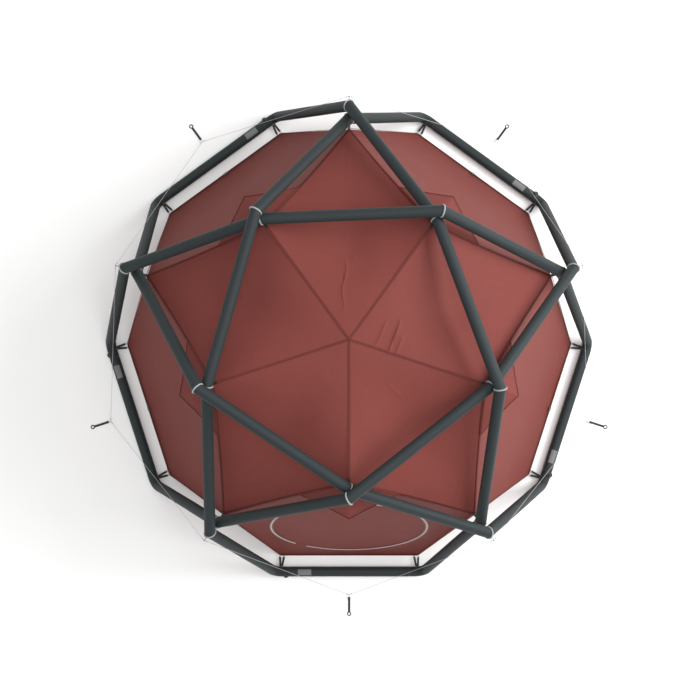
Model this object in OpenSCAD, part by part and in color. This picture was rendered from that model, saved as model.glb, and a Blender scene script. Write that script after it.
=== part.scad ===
// Inflatable geodesic dome tent. Five inflated hoops cross over and under each
// other as half of an icosidodecahedron, and a star-roofed fly hangs inside them.
// Millimetres, +Z up, origin on the ground under the centre of the groundsheet.

/* [Frame] */
// Distance between neighbouring frame corners, along one beam
edge = 1000; // [600:10:1600]
// Outer diameter of an inflated beam
tube_d = 67; // [40:1:110]
// Wall of the woven sleeve
sleeve_t = 1.2; // [0.8:0.1:3]
// Wall of the air bladder inside the sleeve
bladder_t = 0.8; // [0.5:0.1:2]
// Free gap between the crossing beams, measured at the bends
cross_gap = 8.5; // [8.5:0.5:20]
// Thickness of the piping cord sewn round each mitred bend
piping_d = 3; // [2:0.1:3]

/* [Fly] */
// Thickness of the fly panels
fly_t = 1.5; // [0.8:0.1:3]
// Distance from the centre to a straight base edge of the fly
base_apothem = 1435; // [850:5:2300]
// Height of the fly's base edge above the ground
base_z = 3; // [3:1:30]
// Gap along the hooks between the fly's corners and the inner beams
hook_gap = 20; // [10:1:60]
// Height of the apex above the ground
apex_z = 1400; // [1350:10:1700]
// How far the middle of a roof panel lies above a plain saddle
roof_fill = 40; // [0:5:60]
// Width of the roof seam tape
seam_w = 14; // [8:1:30]
// Width of the hems
hem_w = 24; // [12:1:40]

/* [Vents] */
// Share of a roof edge, from the top corner, that a hood covers
hood_share = 0.385; // [0.25:0.005:0.5]
// Distance of a hood's tip from the centre axis
hood_r = 1030; // [990:5:1100]
// Height of a hood's tip above the ground
hood_z = 1120; // [1050:5:1160]
// Half the width of the vent window's lower edge
vent_half = 150; // [60:5:190]
// Height of the vent window up the slope
vent_h = 130; // [60:5:160]

/* [Door] */
// Radius of the round door
door_r = 488; // [300:2:520]
// Height of the door's centre up the slope of the front wall
door_y = 630; // [560:5:700]
// Direction of the fabric hinge, as seen from outside, from the right
hinge_angle = -130.5; // [-160:0.5:-100]
// Half the arc that the zip leaves free at the hinge
hinge_half = 5.4; // [3:0.1:10]
// Width of one side of the zip tape
tape_w = 12; // [6:1:20]
// Length of a zip slider
slider_l = 18; // [10:1:30]

/* [Ground fittings] */
// Thickness of the groundsheet
sheet_t = 2; // [1:0.1:4]
// Radius of the hole that a peg goes through
peg_r = 8; // [5:0.5:12]
// Width of the peg strap
strap_w = 15; // [10:1:25]
// Thickness of the peg strap
strap_t = 2; // [1:0.1:3]
// Distance from the centre axis to a peg
peg_at = 1831; // [1770:1:2000]
// Diameter of a guy line
line_d = 2.5; // [2:0.1:4]

/* [Valves] */
// Diameter of a valve's flange
valve_d = 44; // [30:1:60]
// Diameter of a valve's cap
cap_d = 30; // [20:1:40]
// Distance from the frame corner to the valve, along the ground beam
valve_at = 75; // [60:5:200]

/* [Hidden] */
$fn = 48;
FIT = 0.3;                                  // clearance between seated pieces
PHI = (1 + sqrt(5)) / 2;
BEND = 36;                                  // turn of a hoop at each crossing
tube_r = tube_d / 2;
weave_tilt = atan((tube_d + cross_gap) / edge);   // slope of a beam from over to under
out_r = tube_r / cos(BEND / 2 + weave_tilt);      // tube radius across an outer mitre
in_r = tube_r / cos(BEND / 2 - weave_tilt);       // and across an inner one
bladder_r = tube_r - sleeve_t - FIT;
piping_proud = (piping_d / 2 + 0.1) / cos(BEND / 2 + weave_tilt) + piping_d / 2;
dome_r = PHI * edge;
top_r = edge * sqrt((5 + sqrt(5)) / 10);
top_h = edge * sqrt((5 + 2 * sqrt(5)) / 5);
reach = edge * 4;                           // larger than anything that is cut

// Points of the frame. side is 1 for the outer beam, -1 for the inner one.
function polar(r, az, z) = [r * cos(az), r * sin(az), z];
function lift(p, side) =
    p * (1 + side * (cross_gap / 2 + (side > 0 ? out_r : in_r)) / dome_r) + [0, 0, tube_r];
function top_pt(az, side) = lift(polar(top_r, az, top_h), side);
function mid_pt(az, side) = lift(polar(top_h, az, top_r), side);
function base_pt(az) = polar(dome_r, az, tube_r);
function unit(v) = v / norm(v);

// The hoop's route with one more corner at each end, where a ground beam goes on
function hoop_path(k) = [
    base_pt(216 + 72 * k), base_pt(180 + 72 * k), mid_pt(162 + 72 * k, 1), top_pt(126 + 72 * k, -1),
    top_pt(54 + 72 * k, 1), mid_pt(18 + 72 * k, -1), base_pt(72 * k), base_pt(-36 + 72 * k)];
// The ground beam under a wall, again with one more corner at each end
function ground_path(k) = [
    mid_pt(18 + 72 * k, 1), base_pt(36 + 72 * k), base_pt(72 + 72 * k), mid_pt(90 + 72 * k, -1)];
function mitre(path, i) = unit(unit(path[i] - path[i - 1]) + unit(path[i + 1] - path[i]));

// Fly corners. Walls are flat: their planes hold the base edge and the top corner.
inner_r = dome_r - cross_gap / 2 - 2 * in_r;    // inside of the inner beams at a crossing
inner_top = (inner_r - hook_gap) / dome_r;
fly_top_r = top_r * inner_top;
fly_top_z = top_h * inner_top + tube_r;
fly_mid_z = top_r * inner_top + tube_r;
wall_angle = atan2(fly_top_z - base_z, base_apothem - fly_top_r);
wall_l = norm([fly_top_z - base_z, base_apothem - fly_top_r]);
mid_y = (fly_mid_z - base_z) / sin(wall_angle);           // up the wall's slope
fly_mid_r = (base_apothem - mid_y * cos(wall_angle)) / cos(36);
mid_half = fly_mid_r * sin(36);
base_half = base_apothem * tan(18);
corner_angle = atan2(fly_mid_z - base_z, base_apothem - fly_mid_r);
corner_l = norm([fly_mid_z - base_z, base_apothem - fly_mid_r]);
fly_corner_r = base_apothem / cos(18);
function fly_top(az) = polar(fly_top_r, az, fly_top_z);
function fly_mid(az) = polar(fly_mid_r, az, fly_mid_z);
apex = [0, 0, apex_z];
hem_t = 1;
vent_top = wall_l - hem_w * 2.6;
seam_t = 1.2;

// Guy line from one frame corner through the strap's ring to the next one
LINE_HALF = [[862, -1197, 870], [619, -1339, 627], [375, -1482, 384], [253, -1553, 263],
    [132, -1624, 141], [10, -1695, 20], [5, -1698, 15]];
LINE_APEX = [0, -1699, 13.7];
LINE = concat(LINE_HALF, [LINE_APEX], [for (i = [6:-1:0]) [-LINE_HALF[i][0], LINE_HALF[i][1], LINE_HALF[i][2]]]);
line_sides = 8;
ring_wire = 2.5;
ring_in = 8.5;
ring_y = LINE_APEX[1] - ring_in + line_d / 2 + 0.15;
ring_z = 12;
eye_out = peg_r + 6;

// ---- helpers ----

// Turns +Z to the direction v
module aim(v) {
    rotate([0, acos(unit(v)[2]), atan2(v[1], v[0])]) children();
}

// Everything on the side of the plane through p that n points to
module beyond(p, n) {
    translate(p) aim(n) translate([-reach / 2, -reach / 2, 0]) cube(reach);
}

// Beam i of a path, cut at the mitres, pulled in by inset at both
module beam(path, i, r, inset = 0) {
    p = path[i];
    q = path[i + 1];
    d = unit(q - p);
    difference() {
        translate(p - d * 2 * tube_d) aim(d) cylinder(r = r, h = norm(q - p) + 4 * tube_d);
        beyond(p + mitre(path, i) * inset, -mitre(path, i));
        beyond(q - mitre(path, i + 1) * inset, mitre(path, i + 1));
    }
}

// Piping cord round a mitre, resting in the fold on the inside of the bend
module piping_ring(path, i) {
    c = unit(path[i + 1] - path[i]) * mitre(path, i);
    translate(path[i]) aim(mitre(path, i)) rotate_extrude()
        translate([(tube_r + piping_d / 2 + 0.1) / c, 0]) circle(d = piping_d, $fn = 24);
}

// Short round piece between two points
module link(p, q, d) {
    translate(p) aim(q - p) cylinder(d = d, h = norm(q - p), $fn = 24);
}

// Local frame of a wall: X along the base edge, Y up the slope, Z outwards
module on_wall(az, angle) {
    rotate([0, 0, az + 90]) translate([0, -base_apothem, base_z]) rotate([angle, 0, 0]) children();
}

function from_wall(az, angle, p) =
    let (y = -base_apothem + p[1] * cos(angle) - p[2] * sin(angle),
         z = base_z + p[1] * sin(angle) + p[2] * cos(angle))
    [p[0] * cos(az + 90) - y * sin(az + 90), p[0] * sin(az + 90) + y * cos(az + 90), z];

// Tube swept along points, its rings square to the route
module swept_line(pts, d) {
    n = len(pts);
    function way(i) = unit(pts[min(i + 1, n - 1)] - pts[max(i - 1, 0)]);
    function side_of(i) = unit(cross(way(i), [0, 0.85, 0.53]));
    rings = [for (i = [0:n - 1], k = [0:line_sides - 1])
        let (u = side_of(i), v = cross(way(i), u), a = 360 * k / line_sides)
        pts[i] + d / 2 * (u * cos(a) + v * sin(a))];
    sides = [for (i = [0:n - 2], k = [0:line_sides - 1])
        let (m = (k + 1) % line_sides, s = line_sides)
        [i * s + k, (i + 1) * s + k, (i + 1) * s + m, i * s + m]];
    first = [for (k = [0:line_sides - 1]) k];
    last = [for (k = [line_sides - 1:-1:0]) (n - 1) * line_sides + k];
    polyhedron(rings, concat(sides, [first, last]));
}

// ---- air frame ----

// Woven sleeve of one beam, open at both mitres
module sleeve_beam(path, i) {
    d = unit(path[i + 1] - path[i]);
    difference() {
        beam(path, i, tube_r, FIT / 2);
        translate(path[i] - d * 2 * tube_d) aim(d)
            cylinder(r = tube_r - sleeve_t, h = norm(path[i + 1] - path[i]) + 4 * tube_d);
    }
}

// Closed tube through all bends of a hoop; cut is how far it stops short of the ends
bladder_sides = 16;
function bend_axis(path, i) = unit(cross(path[i] - path[i - 1], path[i + 1] - path[i]));
function bend_ring(path, i, r) =
    let (b = bend_axis(path, i), n = mitre(path, i), m = cross(n, b), c = unit(path[i + 1] - path[i]) * n)
    [for (k = [0:bladder_sides - 1]) let (a = 360 * k / bladder_sides)
        path[i] + r * (b * cos(a) + m * sin(a) / c)];
function end_ring(path, i, way, r, cut) =
    let (b = bend_axis(path, i + way), d = unit(path[i + way] - path[i]) * way, m = cross(d, b))
    [for (k = [0:bladder_sides - 1]) let (a = 360 * k / bladder_sides)
        path[i] + d * way * cut + r * (b * cos(a) + m * sin(a))];
module hoop_tube(path, r, cut) {
    s = bladder_sides;
    rings = concat(end_ring(path, 1, 1, r, cut), [for (i = [2:5]) each bend_ring(path, i, r)],
        end_ring(path, 6, -1, r, cut));
    sides = [for (i = [0:4], k = [0:s - 1]) let (m = (k + 1) % s)
        [i * s + k, (i + 1) * s + k, (i + 1) * s + m, i * s + m]];
    polyhedron(rings, concat(sides, [[for (k = [0:s - 1]) k]], [[for (k = [s - 1:-1:0]) 5 * s + k]]));
}

module hoop_sleeve(k) {
    color("darkslategray") for (i = [1:5]) sleeve_beam(hoop_path(k), i);
}

module hoop_bladders() {
    color("lightgray") for (k = [0:4]) difference() {
        hoop_tube(hoop_path(k), bladder_r, tube_r);
        hoop_tube(hoop_path(k), bladder_r - bladder_t, tube_r + bladder_t);
    }
}

module ground_sleeve(k) {
    color("darkslategray") sleeve_beam(ground_path(k), 1);
}

module ground_bladders() {
    color("lightgray") for (k = [0:4]) difference() {
        beam(ground_path(k), 1, bladder_r, 1);
        beam(ground_path(k), 1, bladder_r - bladder_t, 3);
    }
}

module bend_piping() {
    color("gray") for (k = [0:4], i = [2:5]) piping_ring(hoop_path(k), i);
}

// Pads that part the outer beam from the inner one at each crossing
module crossing_pads() {
    pad_h = cross_gap - 2 * piping_proud - 2 * FIT;
    color("black") for (k = [0:4], p = [polar(top_r, 54 + 72 * k, top_h), polar(top_h, 18 + 72 * k, top_r)])
        translate(p + [0, 0, tube_r] - unit(p) * pad_h / 2) aim(p) cylinder(d = 16, h = pad_h);
}

// Frame of a ground beam: X along it from its valve end, Z up, at the sleeve's top
module on_ground_beam(k) {
    rotate([0, 0, 54 + 72 * k + 90]) translate([-edge / 2, -dome_r * cos(18), tube_r]) children();
}

valve_turn = 35;                            // lean of the valve, outwards from the top
valve_neck = 6;                             // height of the neck above the sleeve
cap_h = 6;
hinge_out = 4;                              // from the cap's edge to its hinge line
module at_valve(k) {
    on_ground_beam(k) translate([valve_at, 0, 0]) rotate([valve_turn, 0, 0]) translate([0, 0, tube_r + FIT])
        children();
}

module valve_bodies() {
    color("black") for (k = [0:4]) at_valve(k) difference() {
        union() {
            translate([0, 0, -8]) cylinder(d = valve_d, h = 10);
            cylinder(d = cap_d - 6, h = valve_neck);
        }
        translate([0, 0, 3]) cylinder(d = cap_d - 12, h = valve_neck);
        translate([-valve_d, 0, -tube_r - FIT]) rotate([0, 90, 0]) cylinder(r = tube_r + FIT, h = 2 * valve_d);
    }
}

module valve_cap(k) {
    color("dimgray") at_valve(k) translate([0, 0, valve_neck + FIT]) {
        cylinder(d = cap_d, h = cap_h);
        translate([cap_d / 2 - 2, -5, 0]) cube([hinge_out + 3, 10, 2]);
    }
}

// Plain sewn patches beside the valves
patch_l = 90;
patch_w = 40;
patch_t = 0.8;
patch_off = 80;                             // from the valve to the patch
module care_patches() {
    color("white") for (k = [0:4]) on_ground_beam(k) translate([valve_at + patch_off, 0, 0]) intersection() {
        rotate([0, 90, 0]) difference() {
            cylinder(r = tube_r + FIT + patch_t, h = patch_l);
            translate([0, 0, -1]) cylinder(r = tube_r + FIT, h = patch_l + 2);
        }
        translate([0, -patch_w / 2, 0]) cube([patch_l, patch_w, tube_d]);
    }
}

// ---- fly ----

roof_steps = 8;
function roof_pt(az, u, v) =
    apex * (1 - u) * (1 - v) + fly_top(az - 36) * u * (1 - v) + fly_mid(az) * u * v
    + fly_top(az + 36) * (1 - u) * v + [0, 0, roof_fill * 16 * u * v * (1 - u) * (1 - v)];

// Saddle-shaped roof panel from the apex to the mid corner at azimuth az
module roof_panel(az) {
    n = roof_steps;
    row = n + 1;
    size = row * row;
    lower = [for (i = [0:n], j = [0:n]) roof_pt(az, i / n, j / n) + [0, 0, FIT]];
    upper = [for (p = lower) p + [0, 0, fly_t]];
    faces_up = [for (i = [0:n - 1], j = [0:n - 1], h = [0, 1])
        let (a = size + i * row + j, b = a + row, c = b + 1, d = a + 1)
        h == 0 ? [a, c, b] : [a, d, c]];
    faces_down = [for (i = [0:n - 1], j = [0:n - 1], h = [0, 1])
        let (a = i * row + j, b = a + row, c = b + 1, d = a + 1)
        h == 0 ? [a, b, c] : [a, c, d]];
    rim = concat([for (i = [0:n - 1]) i * row], [for (j = [0:n - 1]) n * row + j],
        [for (i = [n:-1:1]) i * row + n], [for (j = [n:-1:1]) j]);
    sides = [for (i = [0:4 * n - 1]) let (a = rim[i], b = rim[(i + 1) % (4 * n)])
        [a, a + size, b + size, b]];
    color("brown") polyhedron(concat(lower, upper), concat(faces_up, faces_down, sides));
}

module wall_outline() {
    polygon([[-base_half, 0], [base_half, 0], [mid_half, mid_y], [0, wall_l], [-mid_half, mid_y]]);
}

module vent_outline(inset = 0) {
    polygon([[-vent_half + inset * 1.5, vent_top - vent_h + inset], [vent_half - inset * 1.5, vent_top - vent_h + inset],
        [0, vent_top - inset]]);
}

module wall(az) {
    on_wall(az, wall_angle) translate([0, 0, -fly_t]) linear_extrude(fly_t) difference() {
        wall_outline();
        vent_outline();
    }
}

module side_wall(az) {
    color("brown") difference() {
        wall(az);
        neighbour_cuts(az);
    }
}

// Trims a panel's inner face where the next panel starts
module neighbour_cuts(az) {
    for (s = [-1, 1]) {
        a = mitre_normal(az, s);
        translate(a[0]) aim(a[1]) translate([-reach / 2, -reach / 2, -FIT / 2]) cube(reach);
    }
}
// Plane between a wall and the corner panel beside it, through their shared edge
function wall_n(az, angle) = from_wall(az, angle, [0, 0, 1]) - from_wall(az, angle, [0, 0, 0]);
function mitre_normal(az, s) = [
    from_wall(az, wall_angle, [s * base_half, 0, 0]),
    unit(wall_n(az + s * 36, corner_angle) - wall_n(az, wall_angle))];

module front_wall() {
    color("brown") difference() {
        wall(-90);
        neighbour_cuts(-90);
        on_wall(-90, wall_angle) translate([0, door_y, -2 * fly_t]) cylinder(r = door_r, h = 4 * fly_t, $fn = 96);
    }
}

module corner_panel(az) {
    color("firebrick") difference() {
        on_wall(az, corner_angle) translate([0, 0, -fly_t]) linear_extrude(fly_t)
            polygon([[-base_half, 0], [base_half, 0], [0, corner_l]]);
        for (s = [-1, 1]) {
            a = mitre_normal(az + s * 36, -s);
            translate(a[0]) aim(-a[1]) translate([-reach / 2, -reach / 2, -FIT / 2]) cube(reach);
        }
    }
}

// Flat strip from p to q, its face square to n
module strip(p, q, n, w, t) {
    d = unit(q - p);
    side = unit(cross(n, d));
    up = cross(d, side);
    multmatrix([[d[0], side[0], up[0], p[0]], [d[1], side[1], up[1], p[1]], [d[2], side[2], up[2], p[2]]])
        translate([0, -w / 2, 0]) cube([norm(q - p), w, t]);
}

seam_top = 0.02;                            // bare share of the ridge at the apex
seam_foot = 0.03;                           // and at the roof's corner
module roof_seams() {
    rise = [0, 0, FIT * 2 + fly_t];
    color("maroon") for (k = [0:4]) {
        p = apex + rise;
        q = fly_top(54 + 72 * k) + rise;
        strip(p + (q - p) * seam_top, q - (q - p) * seam_foot, [0, 0, 1], seam_w, seam_t);
    }
}

hem_start = 0.05;                           // as a share of an edge length, from the valley
hem_share = 0.52;
module roof_hems() {
    color("maroon") for (k = [0:4], s = [-1, 1]) {
        az = 54 + 72 * k;
        on_wall(az, wall_angle) translate([s * mid_half, mid_y, FIT]) rotate([0, 0, atan2(wall_l - mid_y, -s * mid_half)])
            translate([hem_start * edge, s > 0 ? 0 : -hem_w, 0]) cube([edge * hem_share, hem_w, hem_t]);
    }
}

hem_short = 4;                              // each end, so neighbours stay apart
module base_hems() {
    color("maroon") for (k = [0:9]) {
        az = 18 + 36 * k;
        on_wall(az, k % 2 == 0 ? corner_angle : wall_angle) translate([-base_half + hem_short, 0, FIT])
            cube([2 * base_half - 2 * hem_short, hem_w, hem_t]);
    }
}

// Pointed canopy over each vent, with its ridge from the roof's corner
module vent_hoods() {
    color("brown") for (k = [0:4]) {
        az = 54 + 72 * k;
        out = FIT * 2 + hem_t + fly_t;
        t = fly_top(az) + [0, 0, out];
        l = fly_top(az) + (fly_mid(az - 36) - fly_top(az)) * hood_share + polar(out, az, out);
        r = fly_top(az) + (fly_mid(az + 36) - fly_top(az)) * hood_share + polar(out, az, out);
        tip = polar(hood_r, az, hood_z);
        top = [t, l, tip, r];
        low = [for (p = top) p - [0, 0, fly_t]];
        polyhedron(concat(top, low), [[0, 2, 1], [0, 3, 2], [4, 5, 6], [4, 6, 7],
            [0, 1, 5, 4], [1, 2, 6, 5], [2, 3, 7, 6], [3, 0, 4, 7]]);
    }
}

module vent_meshes() {
    color("dimgray") for (k = [0:4]) on_wall(54 + 72 * k, wall_angle) translate([0, 0, -fly_t + 0.2])
        linear_extrude(0.8) vent_outline(FIT);
}

module groundsheet() {
    color("slategray") linear_extrude(sheet_t)
        circle(r = (base_apothem - fly_t / sin(wall_angle) - FIT) / cos(18), $fn = 10);
}

// ---- door ----

module on_door() {
    on_wall(-90, wall_angle) translate([0, door_y, 0]) children();
}

module door_flap() {
    color("brown") on_door() translate([0, 0, -fly_t]) cylinder(r = door_r - FIT, h = fly_t, $fn = 96);
}

// Tape with its coil, free of the hinge; edge_r is where the two sides meet
module zip_side(edge_r, s) {
    rotate([0, 0, hinge_angle + hinge_half]) rotate_extrude(angle = 360 - 2 * hinge_half, $fn = 96)
        translate([edge_r, FIT]) {
            translate([s > 0 ? 0 : -tape_w, 0]) square([tape_w, 0.8]);
            translate([s > 0 ? 0 : -2.5, 0]) square([2.5, 2.2]);
        }
}

module door_zip_tape() {
    color("silver") on_door() zip_side(door_r - FIT, -1);
}

module wall_zip_tape() {
    color("silver") on_door() zip_side(door_r, 1);
}

// Slider on the wall's side of the coil; way is 1 or -1 round the door
slider_step = slider_l / door_r * 90 / PI + 0.15;
module zip_slider(way) {
    color("gray") on_door() rotate([0, 0, hinge_angle + 180 + way * slider_step]) translate([door_r + 0.1, 0, 0]) {
        difference() {
            translate([0, -slider_l / 2, FIT * 2 + 0.8]) cube([8, slider_l, 5]);
            translate([-1, -slider_l, 0]) cube([1 + 2.5 + FIT, slider_l * 2, 2.2 + FIT * 2]);
        }
        translate([2, way > 0 ? 0 : -34, 5 + FIT * 2 + 0.8]) cube([5, 34, 1.6]);
    }
}

// ---- fittings ----

// Two short straps run from a fly corner to one place on the ground beam beside it
strap_d = 5;
ring_d = 12;
ring_step = 28;                             // between the two rings of a corner
ring_height = 14;
strap_reach = [36, 46];                     // from the beam's corner to each strap's end
function corner_ring(k, e, s) =
    let (az = e == 1 ? 180 + 72 * k : 72 * k, way = e == 1 ? 1 : -1)
    polar(fly_corner_r + ring_d / 2, az, ring_height) + unit(base_pt(az + way * 36) - base_pt(az)) * (s == 0 ? 0 : ring_step)
    + polar(s == 0 ? 1 : -9 * sin(18) + 2, az, 0);
module corner_straps() {
    color("black") for (k = [0:4], e = [1, 6], s = [0, 1]) {
        az = e == 1 ? 180 + 72 * k : 72 * k;
        away = unit(base_pt(az + (e == 1 ? 36 : -36)) - base_pt(az));
        from = corner_ring(k, e, s);
        c = base_pt(az) + away * strap_reach[s];
        w = from - c;
        side = unit(w - away * (w * away));
        to = c + side * (tube_r + FIT);
        link(from + unit(to - from) * (ring_d / 2 + FIT), to - unit(to - from) * strap_d * 0.1, strap_d);
    }
}

module corner_rings() {
    color("black") for (k = [0:4], e = [1, 6], s = [0, 1]) translate(corner_ring(k, e, s)) sphere(d = ring_d);
}

// Toggles between the inner beam and the fly at each crossing
hook_d = 8;
hook_foot = 3.2;                             // from the fly's corner to the toggle's end
module node_hooks() {
    color("black") for (k = [0:4], p = [polar(top_r, 54 + 72 * k, top_h), polar(top_h, 18 + 72 * k, top_r)]) {
        q = p / dome_r * (inner_r - piping_proud - FIT) + [0, 0, tube_r];
        link(q, p / dome_r * (inner_r - hook_gap + hook_foot) + [0, 0, tube_r], hook_d);
    }
}

tab = [30, 45, 2];
tab_over = 3;                               // past the fly's lower edge
module base_tabs() {
    color("black") for (k = [0, 1, 2, 4]) on_wall(54 + 72 * k, wall_angle)
        translate([-tab[0] / 2, -tab_over, FIT * 2 + hem_t]) cube(tab);
}

module guy_line(k) {
    color("white") rotate([0, 0, 72 * k]) swept_line(LINE, line_d);
}

// Webbing loops that stand out from the crossing beams, where the guy lines start
loop_d = 9;
loop_off = 6.9;                             // clear of the beam's mitre
loop_past = 3;
module guy_loops() {
    at = polar(norm([LINE[0][0], LINE[0][1]]), -54, LINE[0][2]);
    c = mid_pt(-54, 1);
    d = unit(at - c);
    color("black") for (k = [0:4]) rotate([0, 0, 72 * k])
        link(c + d * (out_r + loop_off), at + d * loop_past, loop_d);
}

// Webbing strap flat on the ground with an eye for a peg and a lifted inner end
lift_from = 1750;                           // where the strap leaves the ground
lift_foot = 6;
strap_lap = 5;
module peg_straps() {
    lift_y = ring_y - ring_in - ring_wire - FIT;
    color("black") for (k = [0:4]) rotate([0, 0, 72 * k]) {
        difference() {
            union() {
                translate([0, -peg_at, 0]) cylinder(r = eye_out, h = strap_t);
                translate([-strap_w / 2, -peg_at + peg_r + 2, 0]) cube([strap_w, peg_at - lift_from + strap_lap - peg_r - 2, strap_t]);
            }
            translate([0, -peg_at, -1]) cylinder(r = peg_r, h = strap_t + 2);
        }
        translate([-strap_w / 2, 0, 0]) rotate([90, 0, 90]) linear_extrude(strap_w)
            polygon([[-lift_from, 0], [lift_foot - lift_from, 0], [lift_y, ring_z - 2], [lift_y, ring_z + 1], [-lift_from, strap_t]]);
    }
}

module strap_rings() {
    color("silver") for (k = [0:4]) rotate([0, 0, 72 * k]) translate([0, ring_y, ring_z]) rotate([0, 90, 0])
        rotate_extrude() translate([ring_in + ring_wire / 2, 0]) circle(d = ring_wire, $fn = 24);
}

for (k = [0:4]) {
    hoop_sleeve(k);
    ground_sleeve(k);
    valve_cap(k);
    roof_panel(90 + 72 * k);
    corner_panel(18 + 72 * k);
    guy_line(k);
}
for (k = [1:4]) side_wall(-90 + 72 * k);
hoop_bladders();
ground_bladders();
bend_piping();
crossing_pads();
valve_bodies();
care_patches();
front_wall();
roof_seams();
roof_hems();
base_hems();
vent_hoods();
vent_meshes();
groundsheet();
door_flap();
door_zip_tape();
wall_zip_tape();
zip_slider(1);  // zip_slider_1
zip_slider(-1);  // zip_slider_2
corner_straps();
corner_rings();
node_hooks();
base_tabs();
guy_loops();
peg_straps();
strap_rings();
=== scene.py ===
"""Geodesic dome tent on an inflated frame.

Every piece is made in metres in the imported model's frame: +Z up, the door on the -Y side.
Azimuths are in degrees from +X, counter-clockwise from above.
"""

from math import atan, atan2, ceil, copysign, cos, exp, hypot, pi, radians, sin, sqrt, tan

import bmesh
import bpy
from mathutils import Matrix, Vector, noise
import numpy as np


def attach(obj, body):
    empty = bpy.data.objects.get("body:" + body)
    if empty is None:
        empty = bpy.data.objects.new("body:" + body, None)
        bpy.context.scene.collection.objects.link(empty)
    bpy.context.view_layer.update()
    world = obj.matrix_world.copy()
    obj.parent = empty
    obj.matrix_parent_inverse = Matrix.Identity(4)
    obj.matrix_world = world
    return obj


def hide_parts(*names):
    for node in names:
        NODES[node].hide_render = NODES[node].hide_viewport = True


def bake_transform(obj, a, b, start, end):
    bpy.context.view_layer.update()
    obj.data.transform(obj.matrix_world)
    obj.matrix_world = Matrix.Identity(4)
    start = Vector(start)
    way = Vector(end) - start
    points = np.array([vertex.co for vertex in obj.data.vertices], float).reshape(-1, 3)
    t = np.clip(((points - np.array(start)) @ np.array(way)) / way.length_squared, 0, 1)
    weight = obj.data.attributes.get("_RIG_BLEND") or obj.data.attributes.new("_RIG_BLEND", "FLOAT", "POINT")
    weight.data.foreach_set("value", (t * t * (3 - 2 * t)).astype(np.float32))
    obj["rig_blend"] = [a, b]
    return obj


bl_info = {
    "name": "Inflatable dome tent",
    "version": (1, 0, 0),
    "blender": (4, 5, 0),
    "location": "View3D > Sidebar > Dome tent",
    "description": "Builds the air frame, fly, door, vents and fittings of a dome tent",
    "category": "Object",
}

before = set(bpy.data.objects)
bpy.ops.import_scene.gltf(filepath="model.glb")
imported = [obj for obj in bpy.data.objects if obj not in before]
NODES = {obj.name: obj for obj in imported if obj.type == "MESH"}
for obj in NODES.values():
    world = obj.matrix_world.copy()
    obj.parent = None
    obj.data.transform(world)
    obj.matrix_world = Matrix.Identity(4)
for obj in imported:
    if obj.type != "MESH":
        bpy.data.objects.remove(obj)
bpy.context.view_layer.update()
PHI = (1 + sqrt(5)) / 2
UP = Vector((0, 0, 1))
FIFTHS = range(5)


# ---- sizes and colours that a user would change ----

def metres(label, default, note):
    return bpy.props.FloatProperty(name=label, description=note, default=default, unit="LENGTH",
                                   precision=4, min=0)


def colour(label, default, note):
    return bpy.props.FloatVectorProperty(name=label, description=note, default=default, subtype="COLOR",
                                         size=3, min=0, max=1)


class AirFrameSizes(bpy.types.PropertyGroup):
    edge: metres("Beam length", 1.0, "Distance between neighbouring frame corners")
    tube_d: metres("Beam diameter", .067, "Outer diameter of an inflated beam")
    cross_gap: metres("Crossing gap", .0085, "Free gap between two crossing beams")
    piping_d: metres("Piping diameter", .0088, "Cord sewn round each mitred bend")
    corner_bend: metres("Base bend radius", .085, "Radius of the rounded corners on the ground")


class FlySizes(bpy.types.PropertyGroup):
    base_apothem: metres("Base distance", 1.435, "From the centre axis to a straight base edge")
    base_z: metres("Base height", .003, "Height of the fly's base edge")
    hook_gap: metres("Hook gap", .02, "Gap between the fly's corners and the inner beams")
    apex_z: metres("Apex height", 1.4, "Height of the roof's middle")
    roof_fill: metres("Roof fill", .04, "How far a roof panel lies above a plain saddle")
    edge_bow: metres("Edge bow", .012, "How far the star's edges are drawn inwards")
    seam_w: metres("Seam width", .0145, "Width of the roof's seam tape")
    hem_w: metres("Hem width", .024, "Width of the hems")
    cloth_t: metres("Cloth thickness", .0008, "Thickness that the fly's cloth is drawn with")
    hood_share: bpy.props.FloatProperty(name="Hood share", default=.385, min=0, max=1,
                                        description="Share of a roof edge that a hood covers")
    hood_r: metres("Hood tip distance", 1.03, "Distance of a hood's tip from the centre axis")
    hood_z: metres("Hood tip height", 1.12, "Height of a hood's tip above the ground")
    vent_half: metres("Vent half width", .15, "Half the width of a vent's lower edge")
    vent_h: metres("Vent height", .13, "Height of a vent up the slope")


class DoorSizes(bpy.types.PropertyGroup):
    radius: metres("Door radius", .488, "Radius of the round door")
    centre: metres("Door centre", .63, "Height of the door's centre up the slope")
    hinge: bpy.props.FloatProperty(name="Hinge direction", description="Direction of the fabric hinge",
                                   default=radians(-130.5), subtype="ANGLE")
    slider_l: metres("Slider length", .018, "Length of a zip slider")


class FittingSizes(bpy.types.PropertyGroup):
    line_d: metres("Guy line diameter", .0025, "Diameter of a guy line")
    strap_w: metres("Peg strap width", .015, "Width of the peg strap")
    strap_t: metres("Peg strap thickness", .0018, "Thickness of the peg strap")
    peg_at: metres("Peg distance", 1.831, "Distance of a peg from the centre axis")
    peg_r: metres("Peg hole radius", .008, "Radius of the hole that a peg goes through")
    valve_at: metres("Valve distance", .075, "Distance of a valve from the frame's corner")
    valve_d: metres("Valve diameter", .044, "Diameter of a valve's flange")
    cap_d: metres("Cap diameter", .03, "Diameter of a valve's cap")
    patch_at: metres("Patch distance", .155, "Distance of a sewn patch from the frame's corner")


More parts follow.
